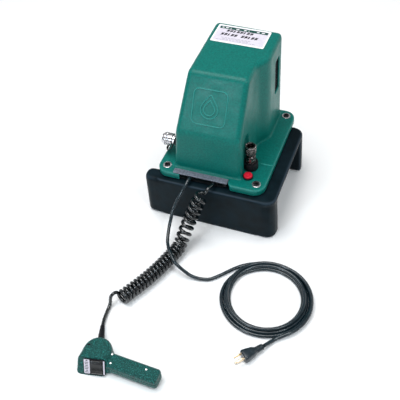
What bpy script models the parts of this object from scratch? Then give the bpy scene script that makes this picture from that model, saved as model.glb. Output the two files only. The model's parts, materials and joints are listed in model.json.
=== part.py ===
"""Electric hydraulic power pump with a pendant remote control, the pump that drives a conduit bender.

Metres, +Z up. The origin is the centre of the reservoir's underside. The front, with the sloping panel, faces -Y,
and +X is to the right as seen from the front. Run it with: blender --background --python part.py
"""

import math

import bmesh
import bpy
from mathutils import Matrix, Vector

# Reservoir
TANK_WIDTH = 0.312
TANK_DEPTH = 0.258
TANK_HEIGHT = 0.115
TANK_WALL = 0.008
CORE_HALF_WIDTH = 0.122
DECK_THICKNESS = 0.012
FRONT_BLOCK_DEPTH = 0.036
REAR_BLOCK_DEPTH = 0.031
LEFT_FOOT_DRAFT = 0.0035
TAIL_HALF_WIDTH = 0.114
TAIL_BACK = 0.157
DECK_OPENING = (-0.090, -0.090, 0.090, 0.146)

# Plates between the reservoir and the shroud
GAP = 0.0003
GASKET_THICKNESS = 0.0012
PLATE_THICKNESS = 0.006
PLATE_BOTTOM = TANK_HEIGHT + 2 * GAP + GASKET_THICKNESS
PLATE_TOP = PLATE_BOTTOM + PLATE_THICKNESS
LIP_FRONT = -0.112

# Shroud casting: flange and hood
FLANGE_TOP = 0.132
FLANGE_SKIN = 0.005
FLANGE_HALF_WIDTH = 0.125
FLANGE_FRONT = -0.1165
FLANGE_BACK = 0.1625
FLANGE_CORNER = 0.026
FLANGE_RIM = 0.0045
HOOD_WALL = 0.0045
FOOT_SPREAD = 0.0022
HOOD_FRONT = -0.0905
HOOD_BACK_LEFT = 0.1575
HOOD_BACK_RIGHT = 0.1515
PANEL_FOOT = (-0.088, 0.238)
PANEL_HEAD = (-0.022, 0.348)
ROOF_BACK = (0.149, 0.355)
HOOD_LEFT_AT_ROOF = -0.066
HOOD_LEFT_AT_FLANGE = -0.0895
HOOD_RIGHT = 0.068
BULGE_RIGHT = 0.088
BULGE_START = 0.030
BULGE_FULL = 0.058
VENT_BOX = (0.098, 0.225, 0.129, 0.311)
LABEL_CENTRE = (0.0055, 0.1134)
LABEL_SIZE = (0.120, 0.0604)
LABEL_TURN = math.radians(-1.1)

# Fasteners
SCREW_PLACES = ((-0.1044, -0.0946), (0.1044, -0.0946), (0.1044, 0.1414), (-0.1044, 0.1414))
SHANK_RADIUS = 0.0039
WASHER_RADIUS = 0.010

# Couplers
COUPLER_Y = -0.047
SUPPLY_Z = 0.166
RETURN_X = 0.077
COUPLER_RADIUS = 0.0147
SLEEVE_TRAVEL = 0.006
PORT_BLOCK = ((-0.056, -0.068, PLATE_TOP + GAP), (0.046, -0.020, 0.186))

# Filler cap
FILLER = (0.0806, -0.0784)

# Motor, gears and pump, all on vertical axes
MOTOR = (0.008, 0.062)
MOTOR_RADIUS = 0.052
GEAR_CASE_TOP = 0.158
MOTOR_TOP = 0.290
GEAR_MODULE = 0.001
PINION_TEETH = 12
WHEEL_TEETH = 48
GEAR_Z = (0.134, 0.144)
CRANK = (MOTOR[0], MOTOR[1] - GEAR_MODULE * (PINION_TEETH + WHEEL_TEETH) / 2)
PUMP_BLOCK = ((-0.030, 0.000, 0.052), (0.046, 0.070, TANK_HEIGHT + 0.0009))

# Cords
POWER_CORD_DIAMETER = 0.0076
PENDANT_CORD_DIAMETER = 0.0075
CURL_DIAMETER = 0.034
RING_CENTRE = (0.1841, -0.2853)
RING_SQUASH = 0.964
RING_OUTER = 0.0971
RING_INNER = 0.0732
RING_HEIGHT = 0.0146

POWER_ROUTE = (
    (-0.0430, -0.1129, 0.1275), (-0.0440, -0.1240, 0.1265), (-0.0470, -0.1370, 0.1205), (-0.0540, -0.1510, 0.1055),
    (-0.0610, -0.1620, 0.0890), (-0.0650, -0.1730, 0.0740), (-0.0660, -0.1870, 0.0600), (-0.0640, -0.2060, 0.0490),
    (-0.0580, -0.2300, 0.0410), (-0.0510, -0.2440, 0.0392), (-0.0420, -0.2570, 0.0390), (-0.0250, -0.2750, 0.0355),
    (-0.0120, -0.2810, 0.0280), (0.0020, -0.2830, 0.0180), (0.0150, -0.2840, 0.0100), (0.0280, -0.2830, 0.0055),
    (0.0400, -0.2815, 0.0042), (0.0570, -0.2760, 0.0040), (0.0740, -0.2600, 0.0040), (0.0840, -0.2488, 0.0040),
    (0.0925, -0.2390, 0.0040),
)
TAIL_ROUTE = (
    (0.2325, -0.3712, 0.0060), (0.2260, -0.3790, 0.0062), (0.2198, -0.3878, 0.0075), (0.2143, -0.3968, 0.0100),
)
PENDANT_EXIT_ROUTE = ((0.0140, -0.1129, 0.1275), (0.0132, -0.1180, 0.1282), (0.0123, -0.1240, 0.1295))
CURL_ROUTE = (
    (0.0100, -0.1330, 0.1325), (0.0010, -0.1490, 0.1270), (-0.0065, -0.1600, 0.1100), (-0.0130, -0.1675, 0.0930),
    (-0.0195, -0.1750, 0.0750), (-0.0255, -0.1850, 0.0560), (-0.0305, -0.1990, 0.0380), (-0.0335, -0.2130, 0.0255),
    (-0.0360, -0.2290, 0.0184), (-0.0415, -0.2490, 0.0175), (-0.0480, -0.2700, 0.0175), (-0.0560, -0.2940, 0.0175),
    (-0.0655, -0.3180, 0.0175), (-0.0765, -0.3420, 0.0175), (-0.0880, -0.3640, 0.0175), (-0.0964, -0.3808, 0.0175),
)
LEAD_ROUTE = (
    (-0.0960, -0.3905, 0.0055), (-0.1040, -0.3845, 0.0140), (-0.1100, -0.3800, 0.0215), (-0.1165, -0.3780, 0.0240),
    (-0.1215, -0.3860, 0.0210), (-0.1228, -0.3990, 0.0130), (-0.1215, -0.4120, 0.0080), (-0.1200, -0.4250, 0.0055),
    (-0.1185, -0.4360, 0.0050), (-0.1160, -0.4465, 0.0060), (-0.1122, -0.4547, 0.0079),
)

# Plug
PLUG_REAR = (0.2125, -0.3990, 0.0105)
PLUG_YAW = math.radians(-130.5)
PLUG_LENGTH = 0.045
BLADE_LENGTH = 0.0165
BLADE_SPACING = 0.0127

# Pendant, in its own frame: the handle along +X, the switch face towards -Y
PENDANT_PLACE = (-0.085, -0.535, 0.0)
PENDANT_YAW = math.radians(-1.6)
HEAD_CENTRE = (-0.0005, 0.0135)
HEAD_RADIUS = 0.0290
HEAD_HEIGHT = 0.038
HEAD_FRONT = -0.032
HANDLE_BOX = ((0.014, -0.0095, 0.003), (0.134, 0.0215, 0.031))
SHELL_WALL = 0.0028
SPLIT_Z = 0.019
FACE_CENTRE = (0.0, -0.0147, 0.019)
FACE_TILT = math.radians(62.8)
FACE_YAW = math.radians(13.0)
FACE_RIGHT = 0.0300
FACE_PLATE = (0.0430, 0.0355, 0.0016)
FACE_SHIFT = 0.0050
ROCKER_SIZE = (0.0244, 0.0300, 0.0070)
ROCKER_X = 0.0095
RELIEF_BASE = (-0.0950, -0.4925, 0.0190)
RELIEF_TIP = (-0.1118, -0.4556, 0.0081)
RELIEF_LENGTH = 0.0420

SEGMENTS = 40
SMALL_SEGMENTS = 20


# ---------------------------------------------------------------- materials

def material(name, colour, roughness, metallic=0.0):
    made = bpy.data.materials.new(name)
    made.use_nodes = True
    shader = made.node_tree.nodes["Principled BSDF"]
    shader.inputs["Base Color"].default_value = (*colour, 1.0)
    shader.inputs["Roughness"].default_value = roughness
    shader.inputs["Metallic"].default_value = metallic
    return made


def make_materials():
    return {
        "green": material("green_casting", (0.010, 0.180, 0.135), 0.45),
        "tank": material("tank_plastic", (0.018, 0.026, 0.036), 0.45),
        "pendant": material("pendant_plastic", (0.018, 0.110, 0.085), 0.5),
        "rubber": material("black_rubber", (0.012, 0.013, 0.014), 0.6),
        "cord": material("cord_jacket", (0.030, 0.045, 0.060), 0.4),
        "chrome": material("plated_steel", (0.75, 0.75, 0.76), 0.2, 1.0),
        "steel": material("steel", (0.50, 0.49, 0.50), 0.35, 1.0),
        "black_steel": material("black_oxide_steel", (0.03, 0.03, 0.03), 0.4, 0.8),
        "zinc": material("zinc_plated_strip", (0.42, 0.38, 0.42), 0.4, 0.8),
        "aluminium": material("cast_aluminium", (0.60, 0.61, 0.62), 0.4, 1.0),
        "iron": material("cast_iron", (0.12, 0.12, 0.12), 0.6, 0.6),
        "copper": material("copper", (0.80, 0.42, 0.22), 0.3, 1.0),
        "brass": material("brass", (0.78, 0.60, 0.28), 0.3, 1.0),
        "carbon": material("carbon", (0.04, 0.04, 0.04), 0.7),
        "red": material("red_plastic", (0.60, 0.012, 0.025), 0.35),
        "white": material("label_film", (0.80, 0.80, 0.80), 0.5),
        "grille": material("vent_plastic", (0.03, 0.035, 0.04), 0.5),
    }


# ---------------------------------------------------------------- shape tools

def object_from(name, work, finish, smooth_angle=35.0):
    bmesh.ops.recalc_face_normals(work, faces=work.faces)
    mesh = bpy.data.meshes.new(name)
    work.to_mesh(mesh)
    work.free()
    if finish:
        mesh.materials.append(finish)
    mesh.shade_smooth()
    mesh.set_sharp_from_angle(angle=math.radians(smooth_angle))
    made = bpy.data.objects.new(name, mesh)
    bpy.context.scene.collection.objects.link(made)
    return made


def box(name, low, high, finish=None):
    work = bmesh.new()
    bmesh.ops.create_cube(work, size=1.0)
    size = Vector(high) - Vector(low)
    middle = (Vector(high) + Vector(low)) / 2
    bmesh.ops.transform(work, matrix=Matrix.Translation(middle) @ Matrix.Diagonal((*size, 1.0)), verts=work.verts)
    return object_from(name, work, finish)


def prism(name, outline, low, high, finish=None, top_outline=None):
    """A solid between two outlines with the same number of points, at heights low and high."""
    work = bmesh.new()
    bottom = [work.verts.new((x, y, low)) for x, y in outline]
    top = [work.verts.new((x, y, high)) for x, y in (top_outline or outline)]
    work.faces.new(bottom[::-1])
    work.faces.new(top)
    for i in range(len(outline)):
        j = (i + 1) % len(outline)
        work.faces.new((bottom[i], bottom[j], top[j], top[i]))
    return object_from(name, work, finish)


def arc(centre, radius, start, end, count):
    """Points on an arc, angles in degrees, both ends included."""
    angles = [math.radians(start + (end - start) * i / count) for i in range(count + 1)]
    return [(centre[0] + radius * math.cos(a), centre[1] + radius * math.sin(a)) for a in angles]


def rounded_outline(left, front, right, back, radius, count=5):
    points = []
    corners = ((right - radius, back - radius, 0), (left + radius, back - radius, 90),
               (left + radius, front + radius, 180), (right - radius, front + radius, 270))
    for x, y, start in corners:
        points += arc((x, y), radius, start, start + 90, count)
    return points


def turned(name, profile, finish=None, segments=SEGMENTS):
    """A solid of revolution about Z from (radius, z) points, run up the outside; radius 0 closes on the axis."""
    work = bmesh.new()
    rings = []
    for radius, z in profile:
        if radius == 0.0:
            rings.append([work.verts.new((0.0, 0.0, z))])
            continue
        ring = []
        for k in range(segments):
            angle = 2 * math.pi * k / segments
            ring.append(work.verts.new((radius * math.cos(angle), radius * math.sin(angle), z)))
        rings.append(ring)
    open_ended = profile[0][0] == 0.0
    pairs = list(zip(rings, rings[1:])) if open_ended else list(zip(rings, rings[1:] + rings[:1]))
    for lower, upper in pairs:
        for k in range(segments):
            m = (k + 1) % segments
            if len(lower) == 1:
                work.faces.new((lower[0], upper[m], upper[k]))
            elif len(upper) == 1:
                work.faces.new((lower[k], lower[m], upper[0]))
            else:
                work.faces.new((lower[k], lower[m], upper[m], upper[k]))
    return object_from(name, work, finish)


def cylinder(name, radius, low, high, finish=None, segments=SEGMENTS, chamfer=0.0):
    if chamfer:
        profile = [(0.0, low), (radius - chamfer, low), (radius, low + chamfer), (radius, high - chamfer),
                   (radius - chamfer, high), (0.0, high)]
    else:
        profile = [(0.0, low), (radius, low), (radius, high), (0.0, high)]
    return turned(name, profile, finish, segments)


def ring(name, outer, inner, low, high, finish=None, segments=SEGMENTS):
    return turned(name, [(inner, low), (outer, low), (outer, high), (inner, high)], finish, segments)


def place(made, x=0.0, y=0.0, z=0.0, rotation=(0.0, 0.0, 0.0), parent=None):
    made.location = (x, y, z)
    made.rotation_euler = rotation
    if parent:
        made.parent = parent
    return made


def helper(made):
    made.hide_render = True
    made.display_type = "WIRE"
    return made


def combine(target, others, operation):
    for other in others:
        modifier = target.modifiers.new(operation.lower(), "BOOLEAN")
        modifier.operation = operation
        modifier.solver = "EXACT"
        modifier.object = helper(other)
    return target


def cut(target, *others):
    return combine(target, others, "DIFFERENCE")


def unite(target, *others):
    return combine(target, others, "UNION")


def keep_inside(target, other):
    return combine(target, [other], "INTERSECT")


def round_edges(made, width, segments=3, angle=40.0):
    modifier = made.modifiers.new("round", "BEVEL")
    modifier.width = width
    modifier.segments = segments
    modifier.limit_method = "ANGLE"
    modifier.angle_limit = math.radians(angle)
    return made


def smooth_path(points, spacing):
    """Points about `spacing` apart along a Catmull-Rom curve through the given points."""
    ends = [2 * Vector(points[0]) - Vector(points[1]), 2 * Vector(points[-1]) - Vector(points[-2])]
    knots = [ends[0], *map(Vector, points), ends[1]]
    path = []
    for a, b, c, d in zip(knots, knots[1:], knots[2:], knots[3:]):
        steps = max(1, round((c - b).length / spacing))
        for i in range(steps):
            t = i / steps
            path.append(0.5 * (2 * b + (c - a) * t + (2 * a - 5 * b + 4 * c - d) * t * t
                               + (3 * b - a - 3 * c + d) * t ** 3))
    path.append(knots[-2])
    return path


def tube(name, route, diameter, finish, spacing, sides=2):
    curve = bpy.data.curves.new(name, "CURVE")
    curve.dimensions = "3D"
    curve.bevel_depth = diameter / 2
    curve.bevel_resolution = sides
    curve.use_fill_caps = True
    path = smooth_path(route, spacing)
    spline = curve.splines.new("POLY")
    spline.points.add(len(path) - 1)
    for point, place_ in zip(spline.points, path):
        point.co = (*place_, 1.0)
    curve.materials.append(finish)
    made = bpy.data.objects.new(name, curve)
    bpy.context.scene.collection.objects.link(made)
    return made


def along(made, start, end):
    """Lays a piece modelled on +Z from 0 along the line from start to end."""
    direction = Vector(end) - Vector(start)
    made.location = start
    made.rotation_euler = direction.to_track_quat("Z", "Y").to_euler()
    return made


def empty(name, location, rotation=(0.0, 0.0, 0.0), parent=None):
    made = bpy.data.objects.new(name, None)
    bpy.context.scene.collection.objects.link(made)
    return place(made, *location, rotation=rotation, parent=parent)


# ---------------------------------------------------------------- reservoir and plates

def make_reservoir(finish):
    half = TANK_WIDTH / 2
    front = -TANK_DEPTH / 2
    back = TANK_DEPTH / 2
    body = prism("reservoir", rounded_outline(-CORE_HALF_WIDTH, front + 0.001, CORE_HALF_WIDTH, back, 0.010), 0.0,
                 TANK_HEIGHT, finish)
    deck_z = TANK_HEIGHT - DECK_THICKNESS
    deck = prism("deck_shape", rounded_outline(-CORE_HALF_WIDTH, front, half - 0.002, back, 0.024), deck_z,
                 TANK_HEIGHT)
    round_edges(deck, 0.004, 3, 60.0)
    pieces = [deck]
    for side in (-1, 1):
        for name, low_y, high_y in (("front", front, front + FRONT_BLOCK_DEPTH), ("rear", back - REAR_BLOCK_DEPTH, back)):
            if side < 0 and name == "front":
                continue
            inner_x = side * (CORE_HALF_WIDTH - 0.02)
            outer_x = side * half
            left, right = min(inner_x, outer_x), max(inner_x, outer_x)
            outline = corner_block_outline(left, low_y, right, high_y, side, name == "front")
            shrunk = corner_block_outline(left, low_y + 0.0015, right, high_y, side, name == "front", 0.003)
            block = prism(f"{name}_block_{side}", outline, 0.0, TANK_HEIGHT - 0.004, None, shrunk)
            round_edges(block, 0.004, 2, 60.0)
            pieces.append(block)
    foot = (-half, front, -CORE_HALF_WIDTH + 0.02, front + FRONT_BLOCK_DEPTH)
    left_foot = prism("left_foot", left_foot_outline(*foot), 0.0, TANK_HEIGHT - 0.0005, None,
                      left_foot_outline(*foot, LEFT_FOOT_DRAFT))
    round_edges(left_foot, 0.007, 3, 60.0)
    pieces.append(left_foot)
    face = prism("front_wall", [(-half + 0.024, front), (half - 0.024, front), (half - 0.024, front + 0.03),
                                (-half + 0.024, front + 0.03)], 0.0, TANK_HEIGHT - 0.004)
    round_edges(face, 0.004, 2, 60.0)
    tail = prism("tail", rounded_outline(-TAIL_HALF_WIDTH, 0.09, TAIL_HALF_WIDTH, TAIL_BACK, 0.012), 0.0, TANK_HEIGHT)
    unite(body, *pieces, face, tail)
    x0, y0, x1, y1 = DECK_OPENING
    cavity = box("tank_space", (-CORE_HALF_WIDTH + TANK_WALL, front + TANK_WALL, TANK_WALL),
                 (CORE_HALF_WIDTH - TANK_WALL, back - TANK_WALL, deck_z))
    rear_space = box("rear_space", (-TAIL_HALF_WIDTH + TANK_WALL, back - 0.02, TANK_WALL),
                     (TAIL_HALF_WIDTH - TANK_WALL, TAIL_BACK - TANK_WALL, deck_z - 0.004))
    opening = prism("deck_opening", rounded_outline(x0, y0, x1, y1, 0.008, 3), deck_z - 0.02, TANK_HEIGHT + 0.01)
    cut(body, cavity, rear_space, opening, *screw_holes("tank_hole", 0.095, SHANK_RADIUS + 0.0004))
    return body


def left_foot_outline(left, front, right, back, shrink=0.0):
    """The front left block, which stands out past the pump's flange, with both outer corners round."""
    left += shrink
    front += 0.15 * shrink
    back_corner = arc((left + 0.014, back - 0.014), 0.014, 90, 180, 4)
    front_corner = arc((left + 0.016, front + 0.016), 0.016, 180, 270, 5)
    return [*back_corner, *front_corner, (right, front), (right, back)]


def corner_block_outline(left, front, right, back, side, rounded_front, shrink=0.0):
    """A corner block of the tank, with its outer corner round and pulled in by `shrink`."""
    radius = 0.022 if rounded_front else 0.018
    if side > 0:
        right -= shrink
    else:
        left += shrink
    outer = right - radius if side > 0 else left + radius
    if rounded_front:
        arc_points = arc((outer, front + radius), radius, 270 if side > 0 else 180, 360 if side > 0 else 270, 5)
        rest = [(right, back), (left, back)]
        points = [(left, front), *arc_points, *rest] if side > 0 else [*arc_points, (right, front), *rest]
        return points
    arc_points = arc((outer, back - radius), radius, 0 if side > 0 else 90, 90 if side > 0 else 180, 5)
    if side > 0:
        return [(left, front), (right, front), *arc_points, (left, back)]
    return [(left, front), (right, front), (right, back), *arc_points]


def screw_holes(name, low, radius):
    return [place(cylinder(f"{name}_{i}", radius, low, FLANGE_TOP + 0.01, None, SMALL_SEGMENTS), x, y)
            for i, (x, y) in enumerate(SCREW_PLACES)]


def make_gasket(finish):
    x0, y0, x1, y1 = DECK_OPENING
    low = TANK_HEIGHT + GAP
    gasket = prism("reservoir_gasket", rounded_outline(-0.113, -0.105, 0.113, 0.155, 0.012, 3), low,
                   low + GASKET_THICKNESS, finish)
    inner = prism("gasket_opening", rounded_outline(x0 + 0.003, y0 + 0.003, x1 - 0.003, y1 - 0.003, 0.008, 3),
                  low - 0.001, low + 0.003)
    return cut(gasket, inner, *screw_holes("gasket_hole", 0.1, SHANK_RADIUS + 0.0005))


def make_plate(finish):
    plate = prism("pump_plate", rounded_outline(-0.119, -0.0955, 0.119, 0.1565, 0.020, 3), PLATE_BOTTOM, PLATE_TOP,
                  finish)
    lip = prism("cord_lip", rounded_outline(-0.070, LIP_FRONT, 0.034, -0.080, 0.003, 2), PLATE_BOTTOM, PLATE_TOP)
    unite(plate, lip)
    shaft_hole = place(cylinder("shaft_hole", 0.0085, 0.1, 0.14, None, SMALL_SEGMENTS), *CRANK)
    filler_port = place(cylinder("filler_port", 0.0063, 0.1, 0.14, None, SMALL_SEGMENTS), *FILLER)
    return cut(plate, shaft_hole, filler_port, *screw_holes("plate_hole", 0.1, SHANK_RADIUS + 0.0005))


# ---------------------------------------------------------------- shroud

def left_wall(z):
    """X of the hood's left wall at height z; it leans outwards towards the flange."""
    share = (PANEL_HEAD[1] - z) / (PANEL_HEAD[1] - FLANGE_TOP)
    return HOOD_LEFT_AT_ROOF + (HOOD_LEFT_AT_FLANGE - HOOD_LEFT_AT_ROOF) * share


def hood_outline(z, inset):
    left = left_wall(z) + inset
    return [(left, HOOD_FRONT + inset), (HOOD_RIGHT - inset, HOOD_FRONT + inset),
            (HOOD_RIGHT - inset, BULGE_START + 0.35 * inset), (BULGE_RIGHT - inset, BULGE_FULL + 0.35 * inset),
            (BULGE_RIGHT - inset, HOOD_BACK_RIGHT - inset), (left, HOOD_BACK_LEFT - inset)]


def slice_above(work, first, second, inset):
    """Cuts off what is above the plane through two (y, z) points, moved inwards by `inset`, and closes the cut."""
    run = Vector((0.0, second[0] - first[0], second[1] - first[1])).normalized()
    normal = Vector((0.0, -run.z, run.y))
    point = Vector((0.0, *first)) - normal * inset
    bmesh.ops.bisect_plane(work, geom=work.verts[:] + work.edges[:] + work.faces[:], plane_co=point, plane_no=normal,
                           clear_outer=True)
    bmesh.ops.holes_fill(work, edges=[e for e in work.edges if e.is_boundary], sides=0)


def hood(name, inset, low, finish=None):
    high = 0.38
    work = bmesh.new()
    bottom = [work.verts.new((x, y, low)) for x, y in hood_outline(low, inset)]
    top = [work.verts.new((x, y, high)) for x, y in hood_outline(high, inset)]
    work.faces.new(bottom[::-1])
    work.faces.new(top)
    for i in range(len(bottom)):
        j = (i + 1) % len(bottom)
        work.faces.new((bottom[i], bottom[j], top[j], top[i]))
    bmesh.ops.recalc_face_normals(work, faces=work.faces)
    slice_above(work, PANEL_FOOT, PANEL_HEAD, inset)
    slice_above(work, PANEL_HEAD, ROOF_BACK, inset)
    return object_from(name, work, finish, 50.0)


def cord_notch():
    """The outline of the notch in the front of the flange, with a swept right-hand side."""
    sweep = [(0.041 + 0.021 * (1 - math.cos(math.pi * i / 12)), -0.0985 - 0.020 * math.sin(math.pi * i / 12))
             for i in range(7)]
    return [(-0.0615, -0.125), (0.062, -0.125), *sweep[::-1], (-0.077, -0.0985)]


def make_shroud(finish):
    shroud = round_edges(hood("shroud", 0.0, 0.100, finish), 0.010, 4, 20.0)
    flange_outline = rounded_outline(-FLANGE_HALF_WIDTH, FLANGE_FRONT, FLANGE_HALF_WIDTH, FLANGE_BACK, FLANGE_CORNER, 7)
    flange = prism("flange_shape", flange_outline, TANK_HEIGHT + 2 * GAP, FLANGE_TOP)
    round_edges(flange, 0.0025, 2, 60.0)
    foot = prism("hood_foot", hood_outline(FLANGE_TOP, -FOOT_SPREAD), FLANGE_TOP - 0.004, FLANGE_TOP + 0.006, None,
                 hood_outline(FLANGE_TOP + 0.006, -GAP))
    round_edges(foot, 0.009, 3, 60.0)
    pocket = place(turned("coupler_pocket", [(0.0, FLANGE_TOP), (0.0215, FLANGE_TOP), (0.0215, 0.206),
                                             (0.013, 0.222), (0.0, 0.224)], None, 32), RETURN_X, COUPLER_Y)
    unite(shroud, flange, foot)
    inside = hood("hood_space", HOOD_WALL, 0.090)
    pocket_wall = place(cylinder("pocket_wall", 0.0215 + HOOD_WALL, 0.090, 0.2285, None, 32), RETURN_X, COUPLER_Y)
    cut(inside, pocket_wall)
    under_outline = rounded_outline(-FLANGE_HALF_WIDTH + FLANGE_RIM, FLANGE_FRONT + FLANGE_RIM,
                                    FLANGE_HALF_WIDTH - FLANGE_RIM, FLANGE_BACK - FLANGE_RIM,
                                    FLANGE_CORNER - FLANGE_RIM)
    under = prism("under_flange", under_outline, 0.095, FLANGE_TOP - FLANGE_SKIN)
    y0, z0, y1, z1 = VENT_BOX
    vent = box("vent_opening", (BULGE_RIGHT - 0.012, y0, z0), (BULGE_RIGHT + 0.01, y1, z1))
    round_edges(vent, 0.003, 2, 60.0)
    notch = prism("cord_notch", cord_notch(), 0.09, FLANGE_TOP + 0.01)
    supply_hole = cylinder("supply_hole", 0.0135, -0.04, 0.04, None, SMALL_SEGMENTS)
    place(supply_hole, left_wall(SUPPLY_Z), COUPLER_Y, SUPPLY_Z, (0.0, math.radians(90), 0.0))
    return_hole = place(cylinder("return_hole", 0.0100, 0.1, 0.14, None, SMALL_SEGMENTS), RETURN_X, COUPLER_Y)
    cap_hole = place(cylinder("cap_hole", 0.0063, 0.1, 0.14, None, SMALL_SEGMENTS), *FILLER)
    cut(shroud, pocket, under, inside, vent, notch, supply_hole, return_hole, cap_hole,
        *screw_holes("flange_hole", 0.1, SHANK_RADIUS + 0.0005))
    return shroud


def make_vent_grille(finish):
    y0, z0, y1, z1 = VENT_BOX
    inner = BULGE_RIGHT - HOOD_WALL - GAP
    margin = 0.008
    grille = box("vent_grille", (inner - 0.003, y0 - margin, z0 - margin), (inner, y1 + margin, z1 + margin), finish)
    slots = bmesh.new()
    count = 11
    pitch = (z1 - z0 - 0.004) / count
    for i in range(count):
        middle = Vector((inner - 0.0015, (y0 + y1) / 2, z0 + 0.002 + pitch * (i + 0.5)))
        size = (0.02, y1 - y0 - 0.004, pitch * 0.5, 1.0)
        tilt = Matrix.Rotation(math.radians(30), 4, "Y")
        bmesh.ops.create_cube(slots, size=1.0, matrix=Matrix.Translation(middle) @ tilt @ Matrix.Diagonal(size))
    return cut(grille, object_from("vent_slots", slots, None))


def make_label(finish):
    slope = (ROOF_BACK[1] - PANEL_HEAD[1]) / (ROOF_BACK[0] - PANEL_HEAD[0])
    x, y = LABEL_CENTRE
    half_x, half_y = LABEL_SIZE[0] / 2, LABEL_SIZE[1] / 2
    plate = prism("name_label", rounded_outline(-half_x, -half_y, half_x, half_y, 0.003, 3), 0.0, 0.0008, finish)
    z = PANEL_HEAD[1] + slope * (y - PANEL_HEAD[0]) + GAP
    lie = Matrix.Rotation(math.atan(slope), 3, "X") @ Matrix.Rotation(LABEL_TURN, 3, "Z")
    return place(plate, x, y, z, lie.to_euler())


# ---------------------------------------------------------------- fasteners, clamp bar and filler

def make_flange_screws(steel, washer_steel):
    for number, (x, y) in enumerate(SCREW_PLACES, 1):
        washer_low = FLANGE_TOP + GAP
        washer_high = washer_low + 0.0014
        washer = ring(f"flange_washer_{number}", WASHER_RADIUS, SHANK_RADIUS + 0.0004, washer_low, washer_high,
                      washer_steel, 28)
        place(washer, x, y)
        head = washer_high + GAP
        profile = [(0.0, 0.101), (SHANK_RADIUS, 0.101), (SHANK_RADIUS, head), (0.0066, head), (0.0066, head + 0.0010),
                   (0.0058, head + 0.0016), (0.0, head + 0.0016)]
        screw = place(turned(f"flange_screw_{number}", profile, steel, SMALL_SEGMENTS), x, y)
        socket = cylinder(f"screw_socket_{number}", 0.0030, head - 0.0020, head + 0.01, None, 6)
        cut(screw, place(socket, x, y))


def make_clamp_bar(finish):
    bar = box("clamp_bar", (-0.083, -0.1145, FLANGE_TOP + GAP), (0.0435, -0.1005, FLANGE_TOP + 0.0033), finish)
    return round_edges(bar, 0.0008, 2)


def make_glands(finish):
    for name, x in (("power_gland", POWER_ROUTE[0][0]), ("pendant_gland", PENDANT_EXIT_ROUTE[0][0])):
        gland = box(name, (x - 0.0075, -0.112, PLATE_TOP + GAP), (x + 0.0075, -0.0990, FLANGE_TOP), finish)
        round_edges(gland, 0.0015, 2)


def make_filler(red, black):
    seal = ring("filler_seal", 0.0108, 0.0063, FLANGE_TOP + GAP, FLANGE_TOP + 0.0020, black, 32)
    place(seal, *FILLER)
    base = FLANGE_TOP + 0.0023
    profile = [(0.0, 0.118), (0.0058, 0.118), (0.0058, base), (0.0092, base), (0.0096, base + 0.0010),
               (0.0096, base + 0.0034), (0.0088, base + 0.0048), (0.0070, base + 0.0052), (0.0, base + 0.0052)]
    return place(turned("filler_cap", profile, red, 32), *FILLER)


# ---------------------------------------------------------------- couplers

def make_supply_coupler(chrome, steel, dark):
    """The supply coupler, modelled from 0 along +Z and laid along -X, out of the left wall of the hood."""
    wall = left_wall(SUPPLY_Z)
    start = PORT_BLOCK[0][0] - GAP
    turn = (0.0, math.radians(-90), 0.0)
    reach = start - wall
    adapter = turned("supply_adapter", [(0.0045, 0.0), (0.0110, 0.0), (0.0110, reach + 0.006), (0.0125, reach + 0.006),
                                        (0.0125, reach + 0.0130), (0.0045, reach + 0.0130)], dark, 24)
    place(adapter, start, COUPLER_Y, SUPPLY_Z, turn)
    base = reach + 0.0133
    body = turned("supply_body", [(0.0052, base), (0.0118, base), (0.0118, base + 0.0260), (0.0108, base + 0.0285),
                                  (0.0108, base + 0.0320), (0.0092, base + 0.0320), (0.0092, base + 0.0130),
                                  (0.0052, base + 0.0110)], steel, 32)
    place(body, start, COUPLER_Y, SUPPLY_Z, turn)
    low = base + SLEEVE_TRAVEL + 0.0012
    profile = [(0.0121, low), (0.0143, low), (COUPLER_RADIUS, low + 0.0008), (COUPLER_RADIUS, low + 0.0066),
               (0.0132, low + 0.0072), (0.0132, low + 0.0096), (COUPLER_RADIUS, low + 0.0102),
               (COUPLER_RADIUS, low + 0.0190), (0.0138, low + 0.0206), (0.0121, low + 0.0206)]
    sleeve = turned("supply_sleeve", profile, chrome, SEGMENTS)
    place(sleeve, start, COUPLER_Y, SUPPLY_Z, turn)
    poppet = cylinder("supply_poppet", 0.0042, base + 0.0165, base + 0.0260, steel, SMALL_SEGMENTS, 0.0012)
    place(poppet, start, COUPLER_Y, SUPPLY_Z, turn)


def make_return_coupler(chrome, steel, dark):
    """The return coupler, standing upright on the flange beside the hood."""
    low = FLANGE_TOP + GAP
    adapter = turned("return_adapter", [(0.0045, PLATE_TOP + GAP), (0.0094, PLATE_TOP + GAP), (0.0094, low),
                                        (0.0155, low), (0.0163, low + 0.0010), (0.0163, low + 0.0170),
                                        (0.0155, low + 0.0180), (0.0045, low + 0.0180)], dark, SEGMENTS)
    place(adapter, RETURN_X, COUPLER_Y)
    base = low + 0.0183
    body = turned("return_body", [(0.0050, base), (0.0108, base), (0.0108, base + 0.0180), (0.0096, base + 0.0190),
                                  (0.0096, base + 0.0440), (0.0078, base + 0.0455), (0.0078, base + 0.0250),
                                  (0.0050, base + 0.0230)], steel, 32)
    place(body, RETURN_X, COUPLER_Y)
    foot = base + 0.0190 + SLEEVE_TRAVEL + 0.0006
    profile = [(0.0100, foot), (0.0116, foot), (0.0123, foot + 0.0008), (0.0123, foot + 0.0190),
               (0.0116, foot + 0.0205), (0.0100, foot + 0.0205)]
    place(turned("return_sleeve", profile, chrome, SEGMENTS), RETURN_X, COUPLER_Y)
    poppet = cylinder("return_poppet", 0.0040, base + 0.0290, base + 0.0380, steel, SMALL_SEGMENTS, 0.0012)
    place(poppet, RETURN_X, COUPLER_Y)


# ---------------------------------------------------------------- motor

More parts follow.
